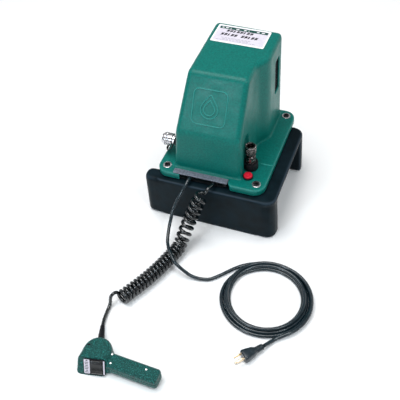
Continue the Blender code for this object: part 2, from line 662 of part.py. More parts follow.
def make_motor(parts):
    can = ring("motor_can", MOTOR_RADIUS, MOTOR_RADIUS - 0.003, GEAR_CASE_TOP + GAP, MOTOR_TOP, parts["iron"])
    place(can, *MOTOR)
    stator = ring("motor_stator", MOTOR_RADIUS - 0.0033, 0.0305, 0.182, 0.248, parts["steel"])
    place(stator, *MOTOR)
    low = MOTOR_TOP + GAP
    cap_profile = [(0.0112, low), (MOTOR_RADIUS, low), (MOTOR_RADIUS, low + 0.006), (0.030, low + 0.014),
                   (0.0112, low + 0.014)]
    place(turned("motor_end_cap", cap_profile, parts["aluminium"]), *MOTOR)
    place(ring("upper_bearing", 0.0109, 0.0053, low + 0.002, low + 0.011, parts["steel"], 24), *MOTOR)
    place(ring("lower_bearing", 0.0109, 0.0053, 0.1475, 0.1565, parts["steel"], 24), *MOTOR)
    make_armature(parts)
    place(ring("commutator", 0.0140, 0.0053, 0.2560, 0.2760, parts["copper"], 24), *MOTOR)
    for name, side in (("brush_left", -1), ("brush_right", 1)):
        inner = MOTOR[0] + side * 0.0145
        outer = MOTOR[0] + side * 0.0300
        box(name, (min(inner, outer), MOTOR[1] - 0.004, 0.2610), (max(inner, outer), MOTOR[1] + 0.004, 0.2700),
            parts["carbon"])
    make_fan(parts["aluminium"])


def gear(name, teeth, bore, low, high, finish, turn):
    """A spur gear with straight-sided teeth and running backlash; a tooth points along the angle `turn`."""
    pitch_radius = GEAR_MODULE * teeth / 2
    outline = []
    for i in range(teeth):
        middle = turn + 2 * math.pi * i / teeth
        for radius, share in ((pitch_radius - 1.15 * GEAR_MODULE, -0.30), (pitch_radius + 0.75 * GEAR_MODULE, -0.11),
                              (pitch_radius + 0.75 * GEAR_MODULE, 0.11), (pitch_radius - 1.15 * GEAR_MODULE, 0.30)):
            angle = middle + 2 * math.pi * share / teeth
            outline.append((radius * math.cos(angle), radius * math.sin(angle)))
    made = prism(name, outline, low, high, finish)
    if bore:
        hole = cylinder(f"{name}_bore", bore, low - 0.01, high + 0.01, None, SMALL_SEGMENTS)
        cut(made, place(hole, parent=made))
    return made


def make_armature(parts):
    """Shaft, laminated core and the pinion cut on the shaft's lower end, in one piece."""
    profile = [(0.0, 0.1345), (0.0046, 0.1345), (0.0046, 0.1460), (0.0050, 0.1460), (0.0050, 0.1850), (0.0290, 0.1850),
               (0.0290, 0.2450), (0.0050, 0.2450), (0.0050, MOTOR_TOP + 0.0130), (0.0, MOTOR_TOP + 0.0130)]
    shaft = place(turned("armature", profile, parts["steel"], 32), *MOTOR)
    toward_wheel = -math.pi / 2
    pinion = place(gear("pinion_shape", PINION_TEETH, 0.0, *GEAR_Z, None, toward_wheel), *MOTOR)
    return unite(shaft, pinion)


def make_fan(finish):
    hub = ring("cooling_fan", 0.0160, 0.0053, 0.1640, 0.1760, finish, 24)
    blades = bmesh.new()
    count = 9
    for i in range(count):
        spin = Matrix.Rotation(2 * math.pi * i / count, 4, "Z")
        blade = Matrix.Translation((0.0290, 0.0, 0.1700)) @ Matrix.Diagonal((0.0280, 0.0018, 0.0110, 1.0))
        bmesh.ops.create_cube(blades, size=1.0, matrix=spin @ blade)
    rim = ring("fan_rim", 0.0445, 0.0418, 0.1642, 0.1662, None, 36)
    fan_blades = object_from("fan_blades", blades, None)
    for made in (hub, fan_blades, rim):
        place(made, *MOTOR)
    return unite(hub, fan_blades, rim)


# ---------------------------------------------------------------- gears and pump

def make_gearing(parts):
    low = PLATE_TOP + GAP
    case = box("gear_case", (-0.046, 0.002, low), (0.062, 0.116, GEAR_CASE_TOP), parts["aluminium"])
    space = box("gear_space", (-0.041, 0.0065, low - 0.01), (0.057, 0.111, 0.1470))
    seat = place(cylinder("bearing_seat", 0.0112, 0.14, 0.16, None, 24), *MOTOR)
    top_bore = place(cylinder("crank_top_bore", 0.0078, 0.14, 0.16, None, SMALL_SEGMENTS), *CRANK)
    cut(case, space, seat, top_bore)
    half_step = math.pi / WHEEL_TEETH
    wheel = gear("drive_gear", WHEEL_TEETH, 0.0073, GEAR_Z[0], GEAR_Z[1], parts["steel"], math.pi / 2 + half_step)
    place(wheel, *CRANK)
    eccentric_low = 0.078
    shaft = turned("crankshaft", [(0.0, 0.0560), (0.0070, 0.0560), (0.0070, 0.1540), (0.0, 0.1540)], parts["steel"],
                   24)
    throw = place(cylinder("crank_throw", 0.0085, eccentric_low, eccentric_low + 0.014, None, 24), 0.0028, 0.0)
    throw.parent = shaft
    place(shaft, *CRANK)
    unite(shaft, throw)
    make_pump(parts, eccentric_low + 0.007)


def make_pump(parts, piston_z):
    block = box("pump_block", *PUMP_BLOCK, parts["iron"])
    crank_bore = place(cylinder("crank_bore", 0.0125, 0.04, 0.13, None, 28), *CRANK)
    piston_bore = cylinder("piston_bore", 0.0063, -0.05, 0.05, None, SMALL_SEGMENTS)
    place(piston_bore, CRANK[0], CRANK[1], piston_z, (math.radians(90), 0.0, 0.0))
    valve_bore = cylinder("valve_bore", 0.0060, -0.012, 0.02, None, SMALL_SEGMENTS)
    place(valve_bore, PUMP_BLOCK[1][0], 0.054, 0.100, (0.0, math.radians(90), 0.0))
    round_edges(block, 0.002, 1)
    cut(block, crank_bore, piston_bore, valve_bore)
    for name, side in (("piston_front", -1), ("piston_rear", 1)):
        piston = cylinder(name, 0.0060, 0.0118, 0.0280, parts["steel"], SMALL_SEGMENTS, 0.0010)
        place(piston, CRANK[0], CRANK[1], piston_z, (math.radians(-90 * side), 0.0, 0.0))
    strainer = turned("suction_strainer", [(0.0, 0.0220), (0.0170, 0.0220), (0.0180, 0.0235), (0.0180, 0.0460),
                                           (0.0080, 0.0480), (0.0080, 0.0517), (0.0, 0.0517)], parts["brass"], 24)
    place(strainer, -0.010, 0.050)
    relief = turned("relief_valve", [(0.0, -0.010), (0.0057, -0.010), (0.0057, GAP), (0.0095, GAP), (0.0095, 0.0080),
                                     (0.0055, 0.0080), (0.0055, 0.0200), (0.0, 0.0200)], parts["brass"], 6)
    place(relief, PUMP_BLOCK[1][0], 0.054, 0.100, (0.0, math.radians(90), 0.0))


def make_valve(parts):
    block = box("valve_block", *PORT_BLOCK, parts["aluminium"])
    port = cylinder("supply_port", 0.0048, -0.005, 0.03, None, SMALL_SEGMENTS)
    place(port, PORT_BLOCK[0][0], COUPLER_Y, SUPPLY_Z, (0.0, math.radians(90), 0.0))
    round_edges(block, 0.002, 1)
    cut(block, port)
    low = PORT_BLOCK[1][2] + GAP
    coil = ring("valve_solenoid", 0.0175, 0.0065, low, low + 0.040, parts["iron"], 28)
    place(coil, -0.012, -0.042)
    plunger = turned("valve_plunger", [(0.0, low + 0.004), (0.0060, low + 0.004), (0.0060, low + 0.041),
                                       (0.0080, low + 0.0415), (0.0080, low + 0.0445), (0.0, low + 0.0445)],
                     parts["steel"], SMALL_SEGMENTS)
    place(plunger, -0.012, -0.042)


# ---------------------------------------------------------------- cords and plug

def make_cords(cord, rubber):
    tube("power_cord", POWER_ROUTE, POWER_CORD_DIAMETER, cord, 0.012)
    tube("power_tail", TAIL_ROUTE, POWER_CORD_DIAMETER, cord, 0.010)
    edge = 0.0035
    coil = turned("power_coil", [(RING_INNER, edge), (RING_INNER + edge, 0.0), (RING_OUTER - edge, 0.0),
                                 (RING_OUTER, edge), (RING_OUTER, RING_HEIGHT - edge), (RING_OUTER - edge, RING_HEIGHT),
                                 (RING_INNER + edge, RING_HEIGHT), (RING_INNER, RING_HEIGHT - edge)], cord, 48)
    place(coil, *RING_CENTRE, z=0.0001)
    coil.scale = (1.0, RING_SQUASH, 1.0)
    tube("pendant_exit", PENDANT_EXIT_ROUTE, PENDANT_CORD_DIAMETER, rubber, 0.006)
    tube("pendant_coil", CURL_ROUTE, CURL_DIAMETER, rubber, 0.020, 4)
    tube("pendant_lead", LEAD_ROUTE, PENDANT_CORD_DIAMETER, rubber, 0.012)


def make_plug(rubber):
    """A moulded mains plug with two flat blades and a round earth pin, modelled along +X from its cord end."""
    frame = empty("plug_frame", PLUG_REAR, (0.0, 0.0, PLUG_YAW))
    sleeve = turned("power_plug", [(0.0, 0.0), (0.0052, 0.0), (0.0068, 0.0180), (0.0068, 0.0300), (0.0, 0.0300)],
                    rubber, 24)
    place(sleeve, rotation=(0.0, math.radians(90), 0.0), parent=frame)
    outline = [(-0.0068, -0.0068), (0.0068, -0.0068), (0.0068, 0.0068), (-0.0068, 0.0068)]
    wide = [(-0.0098, -0.0128), (0.0098, -0.0128), (0.0098, 0.0128), (-0.0098, 0.0128)]
    grip = prism("plug_grip", outline, 0.0140, 0.0300, None, wide)
    head = prism("plug_head", wide, 0.0299, PLUG_LENGTH)
    round_edges(head, 0.0025, 2)
    parts = [grip, head]
    for side in (-1, 1):
        y = side * BLADE_SPACING / 2
        parts.append(box(f"blade_{side}", (-0.0070, y - 0.0008, 0.040), (-0.0007, y + 0.0008, PLUG_LENGTH + BLADE_LENGTH)))
    pin = cylinder("earth_pin", 0.0024, 0.040, PLUG_LENGTH + BLADE_LENGTH + 0.002, None, 16, 0.0010)
    pin.location = (0.0062, 0.0, 0.0)
    parts.append(pin)
    for made in parts:
        made.parent = sleeve
    return unite(sleeve, *parts)


# ---------------------------------------------------------------- pendant

def pendant_solid(name, inset, finish=None):
    """The pendant's outer shape pulled in by `inset`: a round head with a bar-shaped handle."""
    low = inset
    high = HEAD_HEIGHT - inset
    radius = HEAD_RADIUS - inset
    x, y = HEAD_CENTRE
    outline = [(x + radius, HEAD_FRONT - 0.004), *arc((x, y), radius, 0, 180, 16), (x - radius, HEAD_FRONT - 0.004)]
    head = prism(name, outline, low, high, finish)
    round_edges(head, 0.007, 3, 60.0)
    (x0, y0, z0), (x1, y1, z1) = HANDLE_BOX
    handle = prism(f"{name}_handle", rounded_outline(x0 + inset, y0 + inset, x1 - inset, y1 - inset, 0.006, 3),
                   z0 + inset, z1 - inset)
    round_edges(handle, 0.005, 3, 60.0)
    web = prism(f"{name}_web", [(0.012, 0.015), (0.012, -0.014 + inset), (0.0250, -0.014 + inset),
                                (0.040 - inset, -0.007)], z0 + 0.001 + inset, z1 - 0.001 - inset)
    for made in (handle, web):
        made.parent = head
    return unite(head, handle, web)


def make_pendant(parts):
    frame = empty("pendant_frame", PENDANT_PLACE, (0.0, 0.0, PENDANT_YAW))
    face = empty("face_frame", FACE_CENTRE, (FACE_TILT, 0.0, FACE_YAW), frame)
    for name, low, high in (("pendant_shell_lower", -0.01, SPLIT_Z - GAP / 2),
                            ("pendant_shell_upper", SPLIT_Z + GAP / 2, 0.05)):
        shell = pendant_solid(name, 0.0, parts["pendant"])
        shell.parent = frame
        slab = box(f"{name}_half", (-0.06, -0.06, low), (0.16, 0.07, high))
        front = box(f"{name}_face", (-0.06, -0.06, 0.0), (FACE_RIGHT, 0.06, 0.05))
        hollow = pendant_solid(f"{name}_space", SHELL_WALL)
        back_wall = box(f"{name}_back", (-0.06, -0.06, -SHELL_WALL), (FACE_RIGHT + SHELL_WALL, 0.06, 0.06))
        window = box(f"{name}_window", (FACE_SHIFT - 0.0195, -0.0165, -0.02), (FACE_SHIFT + 0.0195, 0.0165, 0.02))
        cut(hollow, back_wall)
        for made in (slab, hollow):
            made.parent = frame
        for made in (front, back_wall, window):
            made.parent = face
        relief_hole = cylinder(f"{name}_relief_hole", 0.0063, -0.008, 0.020, None, SMALL_SEGMENTS)
        along(relief_hole, RELIEF_BASE, RELIEF_TIP)
        keep_inside(shell, slab)
        cut(shell, front, hollow, window, relief_hole)
    make_switch(parts, face)
    relief = turned("pendant_relief", [(0.0, -0.0065), (0.0058, -0.0065), (0.0058, 0.0045), (0.0064, 0.0060),
                                       (0.0064, 0.0100), (0.0042, RELIEF_LENGTH), (0.0, RELIEF_LENGTH)],
                    parts["rubber"], SMALL_SEGMENTS)
    along(relief, RELIEF_BASE, RELIEF_TIP)


def make_switch(parts, face):
    width, height, thickness = FACE_PLATE
    outline = rounded_outline(FACE_SHIFT - width / 2, -height / 2, FACE_SHIFT + width / 2, height / 2, 0.003, 2)
    plate = prism("pendant_face", outline, GAP, GAP + thickness, parts["white"])
    slot_x, slot_y = ROCKER_SIZE[0] / 2 + 0.0006, ROCKER_SIZE[1] / 2 + 0.0009
    slot = box("rocker_slot", (ROCKER_X - slot_x, -slot_y, -0.01), (ROCKER_X + slot_x, slot_y, 0.01))
    place(plate, parent=face)
    slot.parent = face
    cut(plate, slot)
    half_x, half_y = ROCKER_SIZE[0] / 2, ROCKER_SIZE[1] / 2
    profile = [(-half_y, -0.0035), (-0.006, -0.0060), (0.006, -0.0060), (half_y, -0.0035), (half_y, 0.0042),
               (0.0, 0.0026), (-half_y, 0.0042)]
    rocker = prism("pendant_rocker", profile, -half_x, half_x, parts["rubber"])
    rocker.rotation_euler = Matrix(((0, 0, 1), (1, 0, 0), (0, 1, 0))).to_euler()
    rocker.location = (ROCKER_X, 0.0, 0.0)
    rocker.parent = face


def main():
    for made in list(bpy.data.objects):
        bpy.data.objects.remove(made)
    parts = make_materials()
    make_reservoir(parts["tank"])
    make_gasket(parts["rubber"])
    make_plate(parts["black_steel"])
    make_shroud(parts["green"])
    make_vent_grille(parts["grille"])
    make_label(parts["white"])
    make_flange_screws(parts["black_steel"], parts["chrome"])
    make_clamp_bar(parts["zinc"])
    make_glands(parts["rubber"])
    make_filler(parts["red"], parts["rubber"])
    make_supply_coupler(parts["chrome"], parts["steel"], parts["black_steel"])
    make_return_coupler(parts["black_steel"], parts["steel"], parts["black_steel"])
    make_motor(parts)
    make_gearing(parts)
    make_valve(parts)
    make_cords(parts["cord"], parts["rubber"])
    make_plug(parts["rubber"])
    make_pendant(parts)


main()
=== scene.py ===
"""Looks of the hydraulic power pump: castings, label, couplers, cords and pendant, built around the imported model."""

import json
import math

import bmesh
import bpy
from mathutils import Matrix, Vector

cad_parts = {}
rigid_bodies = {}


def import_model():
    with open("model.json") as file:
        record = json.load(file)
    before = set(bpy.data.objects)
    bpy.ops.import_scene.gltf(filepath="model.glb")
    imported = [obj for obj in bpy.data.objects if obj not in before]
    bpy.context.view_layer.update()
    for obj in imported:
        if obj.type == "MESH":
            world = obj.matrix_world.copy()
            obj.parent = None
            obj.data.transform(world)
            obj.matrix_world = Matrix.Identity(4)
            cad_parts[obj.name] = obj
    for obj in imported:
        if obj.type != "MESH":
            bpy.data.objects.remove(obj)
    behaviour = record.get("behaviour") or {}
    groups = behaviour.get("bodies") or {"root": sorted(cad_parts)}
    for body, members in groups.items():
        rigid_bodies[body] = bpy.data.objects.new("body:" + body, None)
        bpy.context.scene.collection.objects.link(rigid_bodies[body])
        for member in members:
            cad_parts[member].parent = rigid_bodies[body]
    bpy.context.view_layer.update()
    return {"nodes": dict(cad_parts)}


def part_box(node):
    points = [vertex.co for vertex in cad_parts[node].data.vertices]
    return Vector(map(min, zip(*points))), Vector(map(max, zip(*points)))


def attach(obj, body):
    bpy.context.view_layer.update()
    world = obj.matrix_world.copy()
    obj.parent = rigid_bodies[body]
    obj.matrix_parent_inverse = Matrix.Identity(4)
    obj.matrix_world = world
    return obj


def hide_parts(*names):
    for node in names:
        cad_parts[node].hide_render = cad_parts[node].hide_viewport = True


# Camera
CAMERA_PLACE = (0.3971, -1.0066, 1.136)
CAMERA_YAW = math.radians(25.25)
CAMERA_PITCH = math.radians(47.45)
CAMERA_ROLL = math.radians(-5.92)
CAMERA_LENS = 57.6
CAMERA_SENSOR = 36.0

# Floor and light: each lamp's name, place, size in metres, power in watts and colour
FLOOR_HALF = 6.0
FLOOR_TOP = -0.0004
WORLD_STRENGTH = 0.4
LAMP_TARGET = (0.0, -0.1, 0.1)
LAMPS = (
    ("key", (-0.5, -0.1, 2.7), 1.6, 50.0, (1.0, 1.0, 1.0)),
    ("front", (-0.85, -2.45, 1.35), 0.5, 18.0, (0.74, 0.88, 1.0)),
    ("side", (1.05, -0.72, 1.95), 0.4, 11.0, (0.85, 0.94, 1.0)),
    ("behind", (2.0, 1.7, 1.2), 1.2, 9.0, (1.0, 1.0, 1.0)),
)

# Mains cord: the CAD model's route from the clamp bar to its coil, and from the coil to the plug
POWER_DIAMETER = 0.0076
POWER_EXIT = (-0.043, -0.1129, 0.1275)
POWER_LEAD = (
    POWER_EXIT, (-0.044, -0.124, 0.1265), (-0.047, -0.137, 0.1205), (-0.054, -0.151, 0.1055),
    (-0.061, -0.162, 0.089), (-0.065, -0.173, 0.074), (-0.066, -0.187, 0.06), (-0.064, -0.206, 0.049),
    (-0.058, -0.23, 0.041), (-0.051, -0.244, 0.0392), (-0.042, -0.257, 0.039), (-0.025, -0.275, 0.0355),
    (-0.012, -0.281, 0.028), (0.002, -0.283, 0.018), (0.015, -0.284, 0.01), (0.028, -0.283, 0.0055),
    (0.04, -0.2815, 0.0042), (0.057, -0.276, 0.004), (0.074, -0.26, 0.004), (0.084, -0.2488, 0.004),
    (0.0925, -0.239, 0.004), (0.106, -0.2255, 0.004), (0.123, -0.2135, 0.004),
)
POWER_TAIL = (
    (0.2325, -0.3712, 0.006), (0.226, -0.379, 0.0062), (0.2198, -0.3878, 0.0075), (0.2143, -0.3968, 0.01),
)

# The mains cord's coil, with the radius of each turn: first those on the floor from the outside in, RING_BOTTOM of
# them, then those on top from the inside out
RING_CENTRE = (0.1841, -0.2853)
RING_SQUASH = 0.964
RING_START = math.radians(113)
RING_TURNS = 4.44
RING_FLOOR = 0.004
RING_RADII = (0.0933, 0.0852, 0.077, 0.0811, 0.0888, 0.099)
RING_BOTTOM = 3
RING_SHIFT = 0.24
RING_CROSSING = 0.06
RING_STEPS_PER_TURN = 48

# Curly cord: its start, the axis and pitch of its turns, and its straight lead to the pendant
PENDANT_DIAMETER = 0.0075
PENDANT_EXIT = (0.014, -0.1129, 0.1275)
PENDANT_START = (PENDANT_EXIT, (0.0132, -0.118, 0.1282), (0.0123, -0.124, 0.1295))
CURL_AXIS = (
    (0.01, -0.133, 0.1325), (0.001, -0.149, 0.127), (-0.0065, -0.16, 0.11), (-0.013, -0.1675, 0.093),
    (-0.0195, -0.175, 0.075), (-0.0255, -0.185, 0.056), (-0.0305, -0.199, 0.038), (-0.0335, -0.213, 0.0255),
    (-0.036, -0.229, 0.0184), (-0.0415, -0.249, 0.0175), (-0.048, -0.27, 0.0175), (-0.056, -0.294, 0.0175),
    (-0.0655, -0.318, 0.0175), (-0.0765, -0.342, 0.0175), (-0.088, -0.364, 0.0175), (-0.0964, -0.3808, 0.0175),
    (-0.0985, -0.3862, 0.0175),
)
CURL_RADIUS = 0.0132
CURL_PITCH_FLOOR = 0.0094
CURL_PITCH_DROP = 0.015
CURL_PITCH_START = 0.072
CURL_SWELL = 0.036
CURL_SKIP = 4
CURL_DROP_END = 0.125
CURL_DROP_FADE = 0.045
CURL_END_PHASE = math.radians(-90)
PENDANT_LEAD = (
    (-0.10355, -0.3838, 0.0055), (-0.10765, -0.3819, 0.009), (-0.11, -0.3808, 0.0141), (-0.1108, -0.3804, 0.019),
    (-0.1122, -0.3829, 0.026), (-0.1156, -0.389, 0.0289), (-0.119, -0.3951, 0.026), (-0.1204, -0.3978, 0.019),
    (-0.1209, -0.4016, 0.0092), (-0.1206, -0.4108, 0.005), (-0.1198, -0.421, 0.0046), (-0.1186, -0.431, 0.0047),
    (-0.1168, -0.441, 0.0052), (-0.1142, -0.4498, 0.0065), (-0.1119, -0.4553, 0.008),
)

# Voxel size in metres and smoothing rounds of each part that is run together from its CAD solid
SHROUD_MESH = (0.0016, 9)
TANK_MESH = (0.002, 8)
PENDANT_MESH = (0.0009, 4)

# Where the CAD model has its slopes: the hood's panel with its emblem, the roof's label, the plug and the pendant
PANEL_FOOT = (-0.088, 0.238)
PANEL_HEAD = (-0.022, 0.348)
EMBLEM_X = -0.0075
EMBLEM_UP = 0.0595
EMBLEM_HALF = 0.037
EMBLEM_DROPS = ((0.019, 0.03), (0.012, 0.019))
EMBLEM_DROP_DOWN = 0.004
BEAD = 0.0015
RIB_Y = -0.0305
RIB_FROM_EDGE = 0.03
RIB_STEP = 0.009
ROOF_SLOPE = math.atan2(0.007, 0.171)
LABEL_TURN = math.radians(-1.1)
LABEL_HALF_X = 0.0566
LABEL_HALF_Y = 0.0266
LABEL_PIECES = {"panel": "label_panel", "band": "label_band", "ink": "label_bars", "fine": "label_lines",
                "film": "label_header_bars"}
HEADER_BARS = ((-0.05, -0.0455), (-0.042, -0.035), (-0.031, -0.029), (-0.018, -0.011), (0.0, 0.006),
               (0.01, 0.012), (0.029, 0.035), (0.04, 0.047))
BOLD_ROWS = ((0.0075, -0.036, 0.031, 0.0076), (-0.0062, -0.045, -0.007, 0.0084), (-0.0062, 0.001, 0.04, 0.0084))
BOLD_STEP = 0.0076
FINE_ROWS = ((-0.0145, -0.04, 0.03), (-0.0185, -0.036, 0.024), (-0.0225, -0.05, 0.042))
FINE_STEP = 0.0075
PLUG_REAR = (0.2125, -0.399, 0.0105)
PLUG_YAW = math.radians(-130.5)
PLUG_LENGTH = 0.045
BLADE_LENGTH = 0.0165
BLADE_SPACING = 0.0127
PENDANT_PLACE = (-0.085, -0.535, 0.0)
PENDANT_YAW = math.radians(-1.6)
FACE_CENTRE = (0.0, -0.0147, 0.019)
FACE_YAW = math.radians(13.0)
FACE_TILT = math.radians(62.8)
ROCKER_X = 0.0095
ROCKER_SIZE = (0.0244, 0.03)
HANDLE_TOP = 0.031
HANDLE_SCREWS = ((0.03, 0.017), (0.0357, -0.001), (0.1066, 0.0112))
RELIEF_BASE = (-0.095, -0.4925, 0.019)
RELIEF_TIP = (-0.1118, -0.4556, 0.0081)

# Couplers
SLEEVE_TEETH = 60
LANYARD_RADIUS = 0.02
LANYARD_LEAN = 0.026
LANYARD_WIRE = 0.0012

# Sockets and outputs of Blender's Mix node when it mixes colours
MIX_FACTOR, MIX_A, MIX_B, MIX_RESULT = 0, 6, 7, 2


# ---------------------------------------------------------------- shape tools

def placed(name, data):
    made = bpy.data.objects.new(name, data)
    bpy.context.scene.collection.objects.link(made)
    return made


def new_object(name, work, finish, sharp=38.0):
    """Makes an object of a bmesh, smooth except where its faces meet at more than `sharp` degrees."""
    bmesh.ops.recalc_face_normals(work, faces=work.faces)
    mesh = bpy.data.meshes.new(name)
    work.to_mesh(mesh)
    work.free()
    mesh.materials.append(finish)
    mesh.shade_smooth()
    mesh.set_sharp_from_angle(angle=math.radians(sharp))
    return placed(name, mesh)


def arc(centre, radius, start, end, count):
    angles = [math.radians(start + (end - start) * i / count) for i in range(count + 1)]
    return [(centre[0] + radius * math.cos(a), centre[1] + radius * math.sin(a)) for a in angles]


def rounded_outline(left, front, right, back, radius, count=8):
    points = []
    corners = ((right - radius, back - radius, 0), (left + radius, back - radius, 90),
               (left + radius, front + radius, 180), (right - radius, front + radius, 270))
    for x, y, start in corners:
        points += arc((x, y), radius, start, start + 90, count)
    return points


def stitch(work, first, second):
    """Joins two closed rings of equally many points with quads."""
    for k in range(len(first)):
        m = (k + 1) % len(first)
        work.faces.new((first[k], first[m], second[m], second[k]))


def add_prism(work, outline, low, high, matrix=None):
    matrix = matrix or Matrix.Identity(4)
    bottom, upper = [[work.verts.new(matrix @ Vector((x, y, z))) for x, y in outline] for z in (low, high)]
    work.faces.new(bottom[::-1])
    work.faces.new(upper)
    stitch(work, bottom, upper)


def add_box(work, low, high, matrix=None):
    outline = [(low[0], low[1]), (high[0], low[1]), (high[0], high[1]), (low[0], high[1])]
    add_prism(work, outline, low[2], high[2], matrix)


def add_turned(work, profile, matrix=None, segments=64, wave=None):
    """A solid of revolution about Z from (radius, z) points; wave(angle, radius, z) may change a point's radius."""
    matrix = matrix or Matrix.Identity(4)
    rings = []
    for radius, z in profile:
        if radius == 0.0:
            rings.append([work.verts.new(matrix @ Vector((0.0, 0.0, z)))])
            continue
        points = []
        for k in range(segments):
            angle = 2 * math.pi * k / segments
            here = wave(angle, radius, z) if wave else radius
            points.append(work.verts.new(matrix @ Vector((here * math.cos(angle), here * math.sin(angle), z))))
        rings.append(points)
    pairs = list(zip(rings, rings[1:]))
    if profile[0][0] > 0.0:
        pairs.append((rings[-1], rings[0]))
    for lower, upper in pairs:
        if len(lower) == len(upper):
            stitch(work, lower, upper)
            continue
        for k in range(segments):
            m = (k + 1) % segments
            work.faces.new((lower[0], upper[m], upper[k]) if len(lower) == 1 else (lower[k], lower[m], upper[0]))


def add_sweep(work, path, radius, closed=False, sides=10, up=(0.0, 0.0, 1.0)):
    """A round bead along a path that stays about square to `up`."""
    points = [Vector(point) for point in path]
    count = len(points)
    rings = []
    for i, here in enumerate(points):
        before = points[(i - 1) % count] if closed or i else here
        after = points[(i + 1) % count] if closed or i < count - 1 else here
        along = (after - before).normalized()
        side = along.cross(Vector(up)).normalized()
        other = side.cross(along)
        rings.append([work.verts.new(here + (side * math.cos(2 * math.pi * k / sides)
                                             + other * math.sin(2 * math.pi * k / sides)) * radius)
                      for k in range(sides)])
    pairs = list(zip(rings, rings[1:]))
    if closed:
        pairs.append((rings[-1], rings[0]))
    for first, second in pairs:
        stitch(work, first, second)
    if not closed:
        work.faces.new(rings[0][::-1])
        work.faces.new(rings[-1])


def shift(x, y, z):
    return Matrix.Translation((x, y, z))


def turned_piece(name, finish, profile, matrix=None, segments=64, wave=None):
    work = bmesh.new()
    add_turned(work, profile, matrix, segments, wave)
    return new_object(name, work, finish)


def bevelled(made, width, segments=3):
    modifier = made.modifiers.new("round", "BEVEL")
    modifier.width = width
    modifier.segments = segments
    modifier.limit_method = "ANGLE"
    modifier.angle_limit = math.radians(35.0)
    modifier.harden_normals = True
    return made


def settled(made):
    """Replaces a piece's mesh with what its modifiers make of it."""
    graph = bpy.context.evaluated_depsgraph_get()
    mesh = bpy.data.meshes.new_from_object(made.evaluated_get(graph))
    made.modifiers.clear()
    made.data = mesh
    return made


def smooth_path(points, spacing):
    """Points about `spacing` apart along a Catmull-Rom curve through the given points."""
    ends = [2 * Vector(points[0]) - Vector(points[1]), 2 * Vector(points[-1]) - Vector(points[-2])]
    knots = [ends[0], *map(Vector, points), ends[1]]
    path = []
    for a, b, c, d in zip(knots, knots[1:], knots[2:], knots[3:]):
        steps = max(1, round((c - b).length / spacing))
        for i in range(steps):
            t = i / steps
            path.append(0.5 * (2 * b + (c - a) * t + (2 * a - 5 * b + 4 * c - d) * t * t
                               + (3 * b - a - 3 * c + d) * t ** 3))
    path.append(knots[-2])
    return path


def cord_curve(name, path, diameter, finish, sides=4):
    curve = bpy.data.curves.new(name, "CURVE")
    curve.dimensions = "3D"
    curve.bevel_depth = diameter / 2
    curve.bevel_resolution = sides
    curve.use_fill_caps = True
    spline = curve.splines.new("POLY")
    spline.points.add(len(path) - 1)
    for point, here in zip(spline.points, path):
        point.co = (*here, 1.0)
    spline.use_smooth = True
    curve.materials.append(finish)
    return placed(name, curve)


def piece(made, body, slot, *nodes):
    """Puts a piece on a body and hides the CAD nodes that it stands for; the slot is not used."""
    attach(made, body)
    if nodes:
        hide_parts(*nodes)
    return made


# ---------------------------------------------------------------- materials

